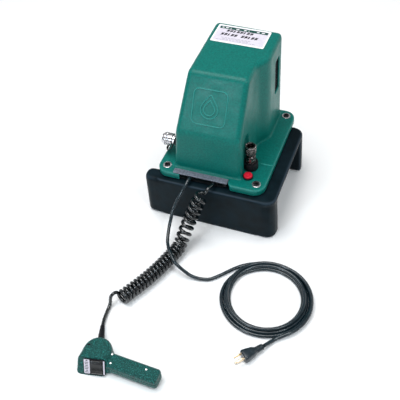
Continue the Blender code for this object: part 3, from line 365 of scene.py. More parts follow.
class Finish:
    """A Principled material with helpers for procedural colour, roughness and bump in object space (metres)."""

    def __init__(self, name, colour, roughness, metallic=0.0, specular=0.5):
        self.material = bpy.data.materials.new(name)
        self.material.use_nodes = True
        self.material.diffuse_color = (*colour, 1.0)
        self.tree = self.material.node_tree
        self.shader = self.tree.nodes["Principled BSDF"]
        for socket, value in (("Base Color", (*colour, 1.0)), ("Roughness", roughness), ("Metallic", metallic),
                              ("Specular IOR Level", specular)):
            self.shader.inputs[socket].default_value = value
        self.colour = colour
        self.roughness = roughness
        self.bump_before = None
        self.where = self.tree.nodes.new("ShaderNodeTexCoord").outputs["Object"]

    def node(self, kind, **values):
        made = self.tree.nodes.new(kind)
        for key, value in values.items():
            if key in made.inputs:
                made.inputs[key].default_value = value
            else:
                setattr(made, key, value)
        return made

    def link(self, output, socket):
        self.tree.links.new(output, socket)

    def noise(self, scale, detail, stretch=None):
        where = self.where
        if stretch:
            mapping = self.node("ShaderNodeMapping", Scale=stretch)
            self.link(where, mapping.inputs["Vector"])
            where = mapping.outputs["Vector"]
        made = self.node("ShaderNodeTexNoise", Scale=scale, Detail=detail)
        self.link(where, made.inputs["Vector"])
        return made.outputs["Fac"]

    def ramp(self, value, low, high, start=0.35, end=0.65):
        """Maps a 0 to 1 value onto numbers or colours between two stops."""
        made = self.node("ShaderNodeValToRGB")
        made.color_ramp.elements[0].position = start
        made.color_ramp.elements[1].position = end
        for element, colour in zip(made.color_ramp.elements, (low, high)):
            element.color = (*colour, 1.0) if isinstance(colour, tuple) else (colour, colour, colour, 1.0)
        self.link(value, made.inputs["Fac"])
        return made.outputs["Color"]

    def mottle(self, scale, amount):
        """Lightens and darkens the colour by `amount` with a soft noise."""
        low = tuple(c * (1 - amount) for c in self.colour)
        high = tuple(min(1.0, c * (1 + amount)) for c in self.colour)
        self.tinted = self.ramp(self.noise(scale, 4.0), low, high)
        self.link(self.tinted, self.shader.inputs["Base Color"])
        return self

    def rough(self, scale, spread):
        value = self.ramp(self.noise(scale, 4.0), self.roughness - spread, self.roughness + spread)
        self.link(value, self.shader.inputs["Roughness"])
        return self

    def bump(self, scale, detail, strength, distance, stretch=None):
        """Adds a noise's bump to the ones before it."""
        height = self.noise(scale, detail, stretch)
        made = self.node("ShaderNodeBump", Strength=strength, Distance=distance)
        self.link(height, made.inputs["Height"])
        if self.bump_before:
            self.link(self.bump_before, made.inputs["Normal"])
        self.bump_before = made.outputs["Normal"]
        self.link(self.bump_before, self.shader.inputs["Normal"])
        return self

    def lay_over(self, colour, share):
        """Mixes another colour over the mottled one, by a 0 to 1 share."""
        mix = self.node("ShaderNodeMix", data_type="RGBA")
        self.link(share, mix.inputs[MIX_FACTOR])
        self.link(self.tinted, mix.inputs[MIX_A])
        mix.inputs[MIX_B].default_value = (*colour, 1.0)
        self.tinted = mix.outputs[MIX_RESULT]
        self.link(self.tinted, self.shader.inputs["Base Color"])
        return self

    def painted_glints(self, scale, colour, start, end):
        """Lays lighter specks of a fine noise over the colour, as painted glints of a grained surface."""
        return self.lay_over(colour, self.ramp(self.noise(scale, 2.0), 0.0, 1.0, start, end))

    def edge_wear_and_painted_highlight(self, colour, start, end, share):
        """Mixes in a lighter colour where the mesh is convex: a painted highlight along rounded edges, on the knurled
        sleeve also worn metal.
        """
        convex = self.node("ShaderNodeNewGeometry").outputs["Pointiness"]
        return self.lay_over(colour, self.ramp(convex, 0.0, share, start, end))


def make_finishes():
    finishes = {}

    def start(key, *values, **more):
        finishes[key] = Finish(*values, **more)
        return finishes[key]

    # castings and mouldings
    green = start("green", "green_enamel", (0.001, 0.138, 0.115), 0.36, specular=0.2)
    green.mottle(300.0, 0.17).rough(40.0, 0.05).bump(520.0, 3.0, 0.24, 0.0008).bump(90.0, 2.0, 0.08, 0.0015)
    # painted highlight: a lighter green along the casting's convex edges, where the lamps would catch them
    green.edge_wear_and_painted_highlight((0.05, 0.32, 0.29), 0.51, 0.56, 0.6)
    # painted highlight: the rib bead gets a lighter green than the casting, for the bright line along it
    rib = start("rib", "green_rib", (0.02, 0.26, 0.22), 0.36, specular=0.2)
    rib.mottle(240.0, 0.1).rough(40.0, 0.05).bump(520.0, 3.0, 0.24, 0.0008)
    tank = start("tank", "tank_plastic", (0.0035, 0.0105, 0.015), 0.38, specular=0.07)
    tank.mottle(30.0, 0.3).rough(30.0, 0.07).bump(900.0, 2.0, 0.25, 0.0004).bump(55.0, 2.0, 0.12, 0.0015)
    # painted highlight: bluish grey along the tank's convex edges
    tank.edge_wear_and_painted_highlight((0.06, 0.09, 0.125), 0.51, 0.56, 0.8)
    pendant = start("pendant", "pendant_plastic", (0.001, 0.058, 0.052), 0.38, specular=0.3)
    pendant.mottle(420.0, 0.3).rough(60.0, 0.05).bump(1500.0, 2.0, 1.0, 0.0012)
    # painted highlight: fine light-green glints on the handset's grain
    pendant.painted_glints(520.0, (0.018, 0.21, 0.185), 0.55, 0.61)
    red = start("red", "red_plastic", (0.66, 0.01, 0.032), 0.52, specular=0.25)
    red.mottle(160.0, 0.12).rough(200.0, 0.05).bump(700.0, 2.0, 0.15, 0.0004)
    grille = start("grille", "vent_plastic", (0.006, 0.01, 0.013), 0.5, specular=0.2)
    grille.mottle(60.0, 0.15).bump(900.0, 2.0, 0.2, 0.0003)
    start("rocker", "rocker_plastic", (0.004, 0.005, 0.006), 0.22).mottle(80.0, 0.2).rough(150.0, 0.05)

    # cords and rubber
    jacket = start("jacket", "cord_jacket", (0.006, 0.017, 0.024), 0.22, specular=0.6)
    jacket.mottle(60.0, 0.2).rough(120.0, 0.05).bump(1400.0, 2.0, 0.12, 0.0002)
    curl = start("curl", "curl_jacket", (0.002, 0.005, 0.007), 0.13, specular=0.85)
    curl.mottle(60.0, 0.2).rough(120.0, 0.05).bump(1400.0, 2.0, 0.12, 0.0002)
    rubber = start("rubber", "black_rubber", (0.005, 0.006, 0.008), 0.45, specular=0.25)
    rubber.mottle(40.0, 0.2).bump(1100.0, 2.0, 0.25, 0.0003)

    # metals outside
    chrome = start("chrome", "bright_plate", (0.52, 0.51, 0.53), 0.24, 1.0)
    chrome.mottle(260.0, 0.16).rough(200.0, 0.06).bump(500.0, 3.0, 0.05, 0.0002)
    # painted reflection: near white along the plated pieces' convex edges
    chrome.edge_wear_and_painted_highlight((0.95, 0.95, 0.96), 0.52, 0.6, 1.0)
    steel = start("steel", "turned_steel", (0.48, 0.45, 0.45), 0.32, 1.0)
    steel.mottle(150.0, 0.12).rough(300.0, 0.06).bump(40.0, 2.0, 0.08, 0.0002, (1.0, 1.0, 60.0))
    bronze = start("bronze", "dull_steel", (0.07, 0.056, 0.056), 0.26, 0.95)
    bronze.mottle(150.0, 0.25).rough(300.0, 0.06).bump(240.0, 3.0, 0.2, 0.0006)
    # painted highlight: a pale pinkish metal along the body's convex edges
    bronze.edge_wear_and_painted_highlight((0.75, 0.66, 0.65), 0.53, 0.62, 1.0)
    # the pale metal on the knurl's convex edges is partly worn oxide, partly a painted highlight
    knurled = start("knurl", "worn_oxide", (0.014, 0.013, 0.013), 0.22, 0.9)
    knurled.mottle(200.0, 0.2).rough(200.0, 0.06).edge_wear_and_painted_highlight((0.85, 0.76, 0.74), 0.52, 0.64, 1.0)
    oxide = start("oxide", "black_oxide", (0.012, 0.013, 0.015), 0.34, 0.5)
    oxide.mottle(200.0, 0.2).rough(200.0, 0.06).bump(800.0, 2.0, 0.12, 0.0003)
    zinc = start("zinc", "zinc_strip", (0.165, 0.18, 0.225), 0.42, 0.35, specular=0.4)
    zinc.mottle(260.0, 0.3).rough(250.0, 0.08).bump(70.0, 2.0, 0.1, 0.0003, (0.08, 1.0, 1.0))
    start("brass", "brass", (0.86, 0.7, 0.5), 0.24, 1.0).mottle(100.0, 0.08).rough(200.0, 0.06)

    # label film and its inks
    film = start("film", "label_film", (0.9, 0.9, 0.91), 0.42, specular=0.3)
    film.mottle(30.0, 0.02).rough(60.0, 0.04).bump(200.0, 2.0, 0.03, 0.0003)
    start("panel", "label_grey", (0.66, 0.62, 0.7), 0.42, specular=0.3).mottle(160.0, 0.06).rough(60.0, 0.04)
    start("band", "label_green", (0.004, 0.06, 0.048), 0.42, specular=0.3).mottle(30.0, 0.06).rough(60.0, 0.04)
    start("ink", "label_ink", (0.008, 0.008, 0.011), 0.45, specular=0.2).mottle(40.0, 0.1).rough(60.0, 0.04)
    start("fine", "label_fine_ink", (0.3, 0.29, 0.33), 0.45, specular=0.2).mottle(40.0, 0.1)

    # inside the hood
    start("iron", "lacquered_iron", (0.05, 0.05, 0.055), 0.48, 0.3).mottle(50.0, 0.2).bump(500.0, 3.0, 0.3, 0.0004)
    cast = start("cast", "cast_aluminium", (0.45, 0.46, 0.47), 0.42, 0.9)
    cast.mottle(60.0, 0.12).rough(100.0, 0.06).bump(600.0, 3.0, 0.25, 0.0004)
    start("copper", "copper", (0.7, 0.32, 0.17), 0.3, 1.0).mottle(90.0, 0.12)
    start("carbon", "carbon", (0.03, 0.03, 0.03), 0.65).mottle(200.0, 0.25).bump(1500.0, 2.0, 0.2, 0.0002)
    return {name: made.material for name, made in finishes.items()}


# ---------------------------------------------------------------- stage, light and camera

def make_stage():
    work = bmesh.new()
    add_box(work, (-FLOOR_HALF, -FLOOR_HALF, -0.02), (FLOOR_HALF, FLOOR_HALF, FLOOR_TOP))
    paper = Finish("pale_floor", (0.97, 0.97, 0.97), 0.85, specular=0.2)
    new_object("floor", work, paper.material)
    world = bpy.data.worlds.new("studio")
    bpy.context.scene.world = world
    world.use_nodes = True
    background = world.node_tree.nodes["Background"].inputs
    background["Color"].default_value = (1.0, 1.0, 1.0, 1.0)
    background["Strength"].default_value = WORLD_STRENGTH
    bpy.context.scene.view_settings.view_transform = "Standard"
    for name, place, size, power, colour in LAMPS:
        lamp = bpy.data.lights.new(name, "AREA")
        lamp.color = colour
        lamp.size = size
        lamp.energy = power
        made = placed(name, lamp)
        made.location = place
        made.rotation_euler = (Vector(LAMP_TARGET) - Vector(place)).to_track_quat("-Z", "Y").to_euler()


def make_camera():
    camera = placed("camera", bpy.data.cameras.new("camera"))
    camera.data.lens = CAMERA_LENS
    camera.data.sensor_width = CAMERA_SENSOR
    camera.data.clip_end = 20.0
    turn = Matrix.Rotation(CAMERA_YAW, 4, "Z") @ Matrix.Rotation(math.pi / 2 - CAMERA_PITCH, 4, "X")
    camera.matrix_world = shift(*CAMERA_PLACE) @ turn @ Matrix.Rotation(CAMERA_ROLL, 4, "Z")
    bpy.context.scene.camera = camera


# ---------------------------------------------------------------- castings and mouldings from the CAD solids

def remeshed(node, name, voxel, rounds, finish):
    """A copy of a CAD solid with its edges run together as in a moulding."""
    work = bmesh.new()
    work.from_mesh(frame["nodes"][node].data)
    bmesh.ops.remove_doubles(work, verts=work.verts, dist=1e-6)
    made = new_object(name, work, finish)
    remesh = made.modifiers.new("remesh", "REMESH")
    remesh.mode = "VOXEL"
    remesh.voxel_size = voxel
    smooth = made.modifiers.new("smooth", "SMOOTH")
    smooth.factor = 0.5
    smooth.iterations = rounds
    settled(made)
    made.data.materials.clear()
    made.data.materials.append(finish)
    made.data.shade_smooth()
    return made


def panel_matrix():
    """The sloping panel's own frame: X to the right, Y up the slope, Z out of it, from the emblem's centre."""
    up = Vector((0.0, PANEL_HEAD[0] - PANEL_FOOT[0], PANEL_HEAD[1] - PANEL_FOOT[1])).normalized()
    right = Vector((1.0, 0.0, 0.0))
    centre = Vector((EMBLEM_X, *PANEL_FOOT)) + up * EMBLEM_UP
    turn = Matrix((right, up, right.cross(up))).transposed().to_4x4()
    return shift(*centre) @ turn


def drop_outline(radius, tip, count=40):
    """An oil drop: a circle drawn out to a point at the top."""
    points = []
    for i in range(count):
        angle = -math.pi / 2 + 2 * math.pi * i / count
        height = math.sin(angle)
        pull = max(0.0, height) ** 2.2
        points.append((radius * math.cos(angle) * (1 - 0.55 * pull), radius * height + (tip - radius) * pull))
    return points


def make_shroud(finishes):
    shroud = remeshed("shroud", "shroud_casting", *SHROUD_MESH, finishes["green"])
    piece(shroud, "pump", "green_casting", "shroud")
    matrix = panel_matrix()
    normal = matrix.to_3x3() @ Vector((0.0, 0.0, 1.0))
    lines = [rounded_outline(-EMBLEM_HALF, -EMBLEM_HALF, EMBLEM_HALF, EMBLEM_HALF, 0.012)]
    lines += [[(x, y - EMBLEM_DROP_DOWN) for x, y in drop_outline(*drop)] for drop in EMBLEM_DROPS]
    work = bmesh.new()
    for line in lines:
        add_sweep(work, [matrix @ Vector((x, y, 0.0)) for x, y in line], BEAD, True, 10, normal)
    piece(new_object("shroud_emblem", work, finishes["green"], 60.0), "pump", "green_casting")
    flange_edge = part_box("shroud")[1][0]
    flange_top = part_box("flange_washer_2")[0][2] - 0.0003
    work = bmesh.new()
    rib = [(flange_edge - RIB_FROM_EDGE + RIB_STEP * i, RIB_Y, flange_top) for i in range(4)]
    add_sweep(work, rib, BEAD)
    # the rib bead wears the lighter green of a painted highlight
    piece(new_object("shroud_rib", work, finishes["rib"], 60.0), "pump", "green_casting")


def make_tank(finishes):
    tank = remeshed("reservoir", "tank_moulding", *TANK_MESH, finishes["tank"])
    piece(tank, "pump", "tank", "reservoir")


# ---------------------------------------------------------------- cords

def ease(share):
    """A smooth step from 0 to 1 as the share goes from 0 to 1."""
    share = min(1.0, max(0.0, share))
    return share * share * (3 - 2 * share)


def resting_height(radius):
    """How high the cord's middle is where it lies on the coil's bottom turns."""
    reach = POWER_DIAMETER + 0.0001
    lifts = [math.sqrt(max(0.0, reach ** 2 - (radius - under) ** 2)) for under in RING_RADII[:RING_BOTTOM]]
    return RING_FLOOR + max(lifts)


def ring_point(turn):
    """A point of the coiled mains cord after `turn` turns; it steps to the next layer at the end of each turn."""
    layer = int(turn)
    if layer == len(RING_RADII) - 2:
        share = ease((turn - layer - RING_CROSSING) / (RING_TURNS - layer - RING_CROSSING))
    else:
        share = ease((turn - layer - 1 + RING_SHIFT) / RING_SHIFT)
    radius = RING_RADII[layer] + (RING_RADII[layer + 1] - RING_RADII[layer]) * share
    if layer < RING_BOTTOM - 1:
        height = RING_FLOOR
    elif layer == RING_BOTTOM - 1:
        height = RING_FLOOR + (resting_height(RING_RADII[RING_BOTTOM]) - RING_FLOOR) * share
    else:
        height = resting_height(radius)
    angle = RING_START - 2 * math.pi * turn
    return Vector((RING_CENTRE[0] + radius * math.cos(angle), RING_CENTRE[1] + radius * math.sin(angle) * RING_SQUASH,
                   height))


def make_power_cord(finishes, plug_pieces):
    steps = round(RING_TURNS * RING_STEPS_PER_TURN)
    ring = [ring_point(RING_TURNS * i / steps) for i in range(steps + 1)]
    route = [*map(Vector, POWER_LEAD), *ring, *map(Vector, POWER_TAIL)]
    cord = cord_curve("mains_cord", smooth_path(route, 0.004), POWER_DIAMETER, finishes["jacket"])
    piece(cord, "pump", "power_jacket", "power_cord", "power_coil", "power_tail")


def curl_helix():
    """The curly cord's turns around its axis, wound so that they end at the bottom, pulled out where they hang."""
    axis = smooth_path(CURL_AXIS, 0.0006)
    turned = [0.0]
    travelled = [0.0]
    for a, b in zip(axis, axis[1:]):
        travelled.append(travelled[-1] + (b - a).length)
        hang = 1 - ease((travelled[-1] - CURL_DROP_END) / CURL_DROP_FADE)
        start = 1 - ease(travelled[-1] / CURL_SWELL)
        pitch = CURL_PITCH_FLOOR + (CURL_PITCH_DROP - CURL_PITCH_FLOOR) * hang
        pitch += (CURL_PITCH_START - CURL_PITCH_DROP) * start
        turned.append(turned[-1] + (b - a).length / pitch)
    helix = []
    for i in range(1, len(axis)):
        along = (axis[i] - axis[i - 1]).normalized()
        left = Vector((-along.y, along.x, 0.0)).normalized()
        over = along.cross(left)
        phase = CURL_END_PHASE + 2 * math.pi * (turned[-1] - turned[i])
        radius = CURL_RADIUS * ease(travelled[i] / CURL_SWELL)
        helix.append(axis[i] + (left * math.cos(phase) + over * math.sin(phase)) * radius)
    return helix


def make_pendant_cord(finishes):
    route = [*map(Vector, PENDANT_START), *curl_helix()[CURL_SKIP:], *map(Vector, PENDANT_LEAD)]
    cord = cord_curve("pendant_cord", smooth_path(route, 0.003), PENDANT_DIAMETER, finishes["curl"], 3)
    piece(cord, "pump", "pendant_jacket", "pendant_exit", "pendant_coil", "pendant_lead")


def plug_section(share):
    """Half width, half height and squareness of the plug at a share of its length from the cord end."""
    widen = 0.55 * ease((share - 0.3) / 0.24) + 0.45 * ease((share - 0.45) / 0.45)
    groove = 0.0007 if share < 0.28 and int(share * 40) % 3 == 2 else 0.0
    tip = 0.0014 * ease((share - 0.94) / 0.06)
    width = 0.0064 + (0.0124 - 0.0064) * widen - groove - tip
    height = 0.0064 + (0.0098 - 0.0064) * widen - groove - tip
    return width, height, 2.0 + 2.5 * widen


def make_plug(finishes):
    """The moulded plug with its ribbed relief and finger ridges, two brass blades and a round pin."""
    matrix = shift(*PLUG_REAR) @ Matrix.Rotation(PLUG_YAW, 4, "Z")
    work = bmesh.new()
    rings = []
    steps, around = 80, 72
    for i in range(steps + 1):
        share = i / steps
        width, height, square = plug_section(share)
        ring = []
        for k in range(around):
            angle = 2 * math.pi * k / around
            across, up = math.cos(angle), math.sin(angle)
            y = width * math.copysign(abs(across) ** (2 / square), across)
            z = height * math.copysign(abs(up) ** (2 / square), up)
            grip = 0.45 < share < 0.86 and abs(across) > 0.75
            y *= 1 - (0.05 * (0.5 + 0.5 * math.cos(2 * math.pi * (share - 0.45) / 0.082)) if grip else 0.0)
            ring.append(work.verts.new(matrix @ Vector((PLUG_LENGTH * share, y, z))))
        rings.append(ring)
    for first, second in zip(rings, rings[1:]):
        stitch(work, first, second)
    work.faces.new(rings[0])
    work.faces.new(rings[-1])
    plug = piece(new_object("plug_body", work, finishes["jacket"], 50.0), "pump", "power_jacket", "power_plug")
    work = bmesh.new()
    for side in (-1, 1):
        y = side * BLADE_SPACING / 2
        outline = rounded_outline(PLUG_LENGTH - 0.003, 0.0007, PLUG_LENGTH + BLADE_LENGTH, 0.007, 0.0012, 4)
        upright = matrix @ Matrix(((1, 0, 0, 0), (0, 0, 1, y - 0.0008), (0, 1, 0, 0), (0, 0, 0, 1)))
        add_prism(work, outline, 0.0, 0.0016, upright)
    pin = matrix @ shift(PLUG_LENGTH - 0.003, 0.0, -0.0062) @ Matrix.Rotation(math.pi / 2, 4, "Y")
    reach = BLADE_LENGTH + 0.005
    add_turned(work, [(0.0, 0.0), (0.0024, 0.0), (0.0024, reach - 0.0022), (0.0019, reach - 0.0008),
                      (0.001, reach), (0.0, reach)], pin, 24)
    blades = piece(bevelled(new_object("plug_blades", work, finishes["brass"]), 0.0003, 2), "pump", "brass")
    return [plug, blades]


# ---------------------------------------------------------------- fasteners, cap, clamp bar and glands

def knurl(angle, radius, teeth, depth):
    return radius - depth * (0.5 + 0.5 * math.cos(teeth * angle))


def hexagon(angle, across):
    """The radius at an angle of a hexagon with this radius to its flats."""
    return across / math.cos((angle + math.pi / 6) % (math.pi / 3) - math.pi / 6)


def make_fasteners(finishes):
    for number in range(1, 5):
        low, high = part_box(f"flange_screw_{number}")
        x, y = (low[0] + high[0]) / 2, (low[1] + high[1]) / 2
        outer = (high[0] - low[0]) / 2
        washer_low, washer_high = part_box(f"flange_washer_{number}")
        head = washer_high[2] + 0.0003
        top = high[2]
        socket = outer * 0.48

        def wave(angle, radius, z, outer=outer, socket=socket):
            if abs(radius - socket) < 1e-6:
                return hexagon(angle, socket)
            if abs(radius - outer) < 1e-6:
                return knurl(angle, radius, 36, 0.03 * radius)
            return radius

        shank = outer * 0.59
        profile = [(0.0, low[2]), (shank, low[2]), (shank, head), (outer * 0.96, head), (outer, head + 0.0005),
                   (outer, top - 0.0008), (outer * 0.93, top - 0.0002), (outer * 0.86, top), (socket * 1.25, top),
                   (socket, top - 0.0004), (socket, top - 0.0034), (0.0, top - 0.0036)]
        screw = turned_piece(f"socket_screw_{number}", finishes["oxide"], profile, shift(x, y, 0.0), 144, wave)
        piece(screw, "pump", "black_oxide", f"flange_screw_{number}")
        rim = (washer_high[0] - washer_low[0]) / 2
        bottom, crown = washer_low[2], washer_high[2]
        profile = [(shank + 0.0004, bottom), (rim - 0.0004, bottom), (rim, bottom + 0.0005),
                   (rim - 0.0004, crown - 0.0002), (rim - 0.001, crown), (shank + 0.0008, crown),
                   (shank + 0.0004, crown - 0.0003)]
        washer = turned_piece(f"bright_washer_{number}", finishes["chrome"], profile, shift(x, y, 0.0), 72)
        piece(washer, "pump", "washer_steel", f"flange_washer_{number}")


def make_filler(finishes):
    low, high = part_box("filler_cap")
    x, y = (low[0] + high[0]) / 2, (low[1] + high[1]) / 2
    seal_low, seal_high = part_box("filler_seal")
    outer = (high[0] - low[0]) / 2
    base, top = seal_high[2] + 0.0003, high[2]

    def grip(angle, radius, z):
        return knurl(angle, radius, 32, 0.035 * radius) if radius > outer * 0.97 else radius

    profile = [(0.0, low[2]), (0.0058, low[2]), (0.0058, base), (outer * 0.97, base), (outer, base + 0.0006),
               (outer, top - 0.0016), (outer * 0.96, top - 0.0006), (outer * 0.88, top - 0.0001), (outer * 0.62, top),
               (outer * 0.58, top - 0.0005), (0.0, top - 0.0005)]
    cap = turned_piece("red_cap", finishes["red"], profile, shift(x, y, 0.0), 128, grip)
    piece(cap, "filler_cap_body", "red_plastic", "filler_cap")
    rim = (seal_high[0] - seal_low[0]) / 2 + 0.0008
    inner = outer + 0.0004
    bottom, ledge = seal_low[2], seal_high[2]
    crown = ledge + 0.0022
    profile = [(0.0063, bottom), (rim - 0.0003, bottom), (rim, bottom + 0.0006), (rim - 0.0003, crown - 0.0006),
               (rim - 0.0008, crown), (inner + 0.0002, crown), (inner, crown - 0.0003), (inner, ledge), (0.0063, ledge)]
    ring = turned_piece("cap_seal", finishes["rubber"], profile, shift(x, y, 0.0), 72)
    piece(ring, "filler_seal_body", "gasket_rubber", "filler_seal")


def make_clamp(finishes):
    low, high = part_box("clamp_bar")
    work = bmesh.new()
    add_prism(work, rounded_outline(low[0], low[1], high[0], high[1], 0.0012, 4), low[2], high[2])
    bar = bevelled(new_object("cord_clamp", work, finishes["zinc"]), 0.0007, 3)
    piece(bar, "pump", "zinc_strip", "clamp_bar")
    plate_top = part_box("pump_plate")[1][2]
    work = bmesh.new()
    outline = rounded_outline(high[0] - 0.011, low[1] + 0.001, high[0] - 0.001, high[1] - 0.002, 0.0015, 4)
    add_prism(work, outline, plate_top + 0.0001, low[2] - 0.0001)
    support = bevelled(new_object("clamp_support", work, finishes["oxide"]), 0.0005, 2)
    piece(support, "pump", "zinc_strip")
    for name, exit_point in (("power_gland", POWER_EXIT), ("pendant_gland", PENDANT_EXIT)):
        low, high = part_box(name)
        work = bmesh.new()
        add_prism(work, rounded_outline(low[0], low[2], high[0], high[2], 0.002, 5), -high[1], -low[1],
                  Matrix(((1, 0, 0, 0), (0, 0, -1, 0), (0, 1, 0, 0), (0, 0, 0, 1))))
        gland = bevelled(new_object(f"{name}_block", work, finishes["rubber"]), 0.0006, 2)
        piece(gland, "pump", "gland_rubber", name)


# ---------------------------------------------------------------- couplers

def make_supply_coupler(finishes):
    """The plated coupler: its pieces are turned along -X from their inner ends."""
    def along(node):
        low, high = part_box(node)
        middle = ((low[1] + high[1]) / 2, (low[2] + high[2]) / 2)
        matrix = shift(high[0], *middle) @ Matrix.Rotation(-math.pi / 2, 4, "Y")
        return matrix, high[0] - low[0], (high[1] - low[1]) / 2

    matrix, length, outer = along("supply_sleeve")
    profile = [(0.0122, 0.0), (outer - 0.0006, 0.0), (outer, 0.0006)]
    for i in range(4):
        z = 0.0024 + 0.0013 * i
        profile += [(outer, z), (outer - 0.0005, z + 0.0003), (outer - 0.0005, z + 0.0006), (outer, z + 0.0009)]
    profile += [(outer - 0.0001, 0.0086), (outer - 0.0016, 0.0092), (outer - 0.0016, 0.0112), (outer - 0.0002, 0.0118),
                (outer - 0.0002, 0.015), (outer - 0.0008, 0.0154), (outer - 0.0008, 0.0162), (outer, 0.0166),
                (outer, length - 0.0018), (outer - 0.0009, length - 0.0003), (outer - 0.0018, length),
                (0.0126, length), (0.0122, length - 0.0006)]

    def wave(angle, radius, z):
        band = 0.0117 < z < 0.0151
        return knurl(angle, radius, SLEEVE_TEETH, 0.0004) if band else radius

    sleeve = turned_piece("plated_sleeve", finishes["chrome"], profile, matrix, 240, wave)
    piece(sleeve, "supply_sleeve_body", "coupler_chrome", "supply_sleeve")
    matrix, length, outer = along("supply_body")
    profile = [(0.0052, 0.0), (outer - 0.0006, 0.0), (outer, 0.0006), (outer, 0.006), (outer - 0.001, 0.0064),
               (outer - 0.001, 0.008), (outer, 0.0084), (outer, length - 0.0062), (outer - 0.001, length - 0.0036),
               (outer - 0.001, length - 0.0006), (outer - 0.0016, length), (0.0096, length), (0.0092, length - 0.0006),
               (0.0092, 0.013), (0.0052, 0.011)]
    body = turned_piece("supply_socket_body", finishes["chrome"], profile, matrix, 96)
    piece(body, "pump", "coupler_steel", "supply_body")
    matrix, length, outer = along("supply_adapter")

    def flats(angle, radius, z):
        return min(hexagon(angle, outer * 0.92), outer) if radius > outer * 0.99 else radius

    profile = [(0.0045, 0.0), (outer - 0.0015, 0.0), (outer - 0.0015, length - 0.01),
               (outer - 0.0004, length - 0.0095), (outer, length - 0.009), (outer, length - 0.0012),
               (outer - 0.0008, length), (0.0045, length)]
    adapter = turned_piece("supply_nut", finishes["oxide"], profile, matrix, 120, flats)
    piece(adapter, "pump", "black_oxide", "supply_adapter")
    matrix, length, outer = along("supply_poppet")
    profile = [(0.0, 0.0), (outer, 0.0), (outer, length - 0.003), (outer - 0.0006, length - 0.0026),
               (outer - 0.0006, length - 0.0018), (outer - 0.0004, length - 0.0012), (outer * 0.55, length),
               (0.0, length)]
    poppet = turned_piece("supply_valve_nose", finishes["steel"], profile, matrix, 48)
    piece(poppet, "supply_poppet_body", "coupler_steel", "supply_poppet")


def make_lanyard(finishes):
    """The loose ring of the coupler's dust cap, which hangs on the supply adapter and leans out under the sleeve."""
    low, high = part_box("supply_adapter")
    sleeve_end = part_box("supply_sleeve")[1][0]
    x, y = sleeve_end + 0.009, (low[1] + high[1]) / 2
    work = bmesh.new()
    middle = high[2] + LANYARD_WIRE - LANYARD_RADIUS
    ring = []
    for k in range(48):
        angle = 2 * math.pi * k / 48
        lean = LANYARD_LEAN * ((1 - math.cos(angle)) / 2) ** 2
        ring.append((x - lean, y + LANYARD_RADIUS * math.sin(angle), middle + LANYARD_RADIUS * math.cos(angle)))
    add_sweep(work, ring, LANYARD_WIRE, True, 10, (1.0, 0.0, 0.0))
    foot = middle - LANYARD_RADIUS
    tab = shift(x - LANYARD_LEAN, y, foot) @ Matrix.Rotation(math.pi / 2, 4, "Y")
    add_prism(work, rounded_outline(-0.0035, -0.005, 0.004, 0.005, 0.0018, 4), -0.0009, 0.0009, tab)
    piece(new_object("cap_lanyard", work, finishes["rubber"], 50.0), "pump", "gland_rubber")


def make_return_coupler(finishes):
    def upright(node):
        low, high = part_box(node)
        middle = shift((low[0] + high[0]) / 2, (low[1] + high[1]) / 2, low[2])
        return middle, high[2] - low[2], (high[0] - low[0]) / 2

    matrix, length, outer = upright("return_adapter")
    foot = length - 0.018

    def ribs(angle, radius, z):
        return knurl(angle, radius, 30, 0.0009) if radius > outer * 0.99 else radius

    profile = [(0.0045, 0.0), (0.0094, 0.0), (0.0094, foot), (outer * 0.96, foot), (outer, foot + 0.001),
               (outer, foot + 0.0075), (outer * 0.975, foot + 0.0079), (outer * 0.975, foot + 0.0093),
               (outer, foot + 0.0097), (outer, length - 0.0012), (outer * 0.95, length - 0.0002), (outer * 0.8, length),
               (0.0045, length)]
    piece(turned_piece("return_collar", finishes["rubber"], profile, matrix, 240, ribs), "pump", "black_oxide",
          "return_adapter")
    matrix, length, outer = upright("return_body")
    profile = [(0.005, 0.0), (outer - 0.0004, 0.0), (outer, 0.0004), (outer, 0.0034), (outer - 0.0016, 0.004),
               (outer - 0.0016, 0.0058), (outer, 0.0064), (outer, 0.012), (outer - 0.001, 0.0124),
               (outer - 0.001, 0.015), (outer, 0.0154), (outer, 0.018), (outer - 0.0012, 0.019),
               (outer - 0.0012, length - 0.0016), (outer - 0.0024, length), (0.0082, length), (0.0078, length - 0.0005),
               (0.0078, 0.025), (0.005, 0.023)]
    piece(turned_piece("return_socket_body", finishes["bronze"], profile, matrix, 96), "pump", "coupler_steel",
          "return_body")
    matrix, length, outer = upright("return_sleeve")

    def grip(angle, radius, z):
        return knurl(angle, radius, 36, 0.0007) if radius > outer * 0.985 else radius

    profile = [(0.01, 0.0), (outer - 0.001, 0.0), (outer - 0.0004, 0.0006), (outer, 0.001), (outer, 0.006),
               (outer - 0.0009, 0.0064), (outer - 0.0009, 0.0076), (outer, 0.008), (outer, 0.015),
               (outer - 0.0009, 0.0155), (outer - 0.0009, 0.0168), (outer - 0.0003, 0.0173),
               (outer - 0.0003, length - 0.001), (outer - 0.0012, length), (0.0104, length), (0.01, length - 0.0004)]
    piece(turned_piece("return_grip_sleeve", finishes["knurl"], profile, matrix, 216, grip), "return_sleeve_body",
          "black_oxide", "return_sleeve")
    matrix, length, outer = upright("return_poppet")
    profile = [(0.0, 0.0), (outer, 0.0), (outer, length - 0.0026), (outer - 0.0006, length - 0.0022),
               (outer - 0.0006, length - 0.0016), (outer * 0.55, length), (0.0, length)]
    piece(turned_piece("return_valve_nose", finishes["steel"], profile, matrix, 48), "return_poppet_body",
          "coupler_steel", "return_poppet")


# ---------------------------------------------------------------- label

def slanted_bar(work, matrix, left, right, low, high, depth, slant=0.0):
    """A flat bar, leaning to the right by `slant` times its height."""
    lean = slant * (high - low)
    outline = [(left, low), (right, low), (right + lean, high), (left + lean, high)]
    add_prism(work, outline, 0.0, depth, matrix)


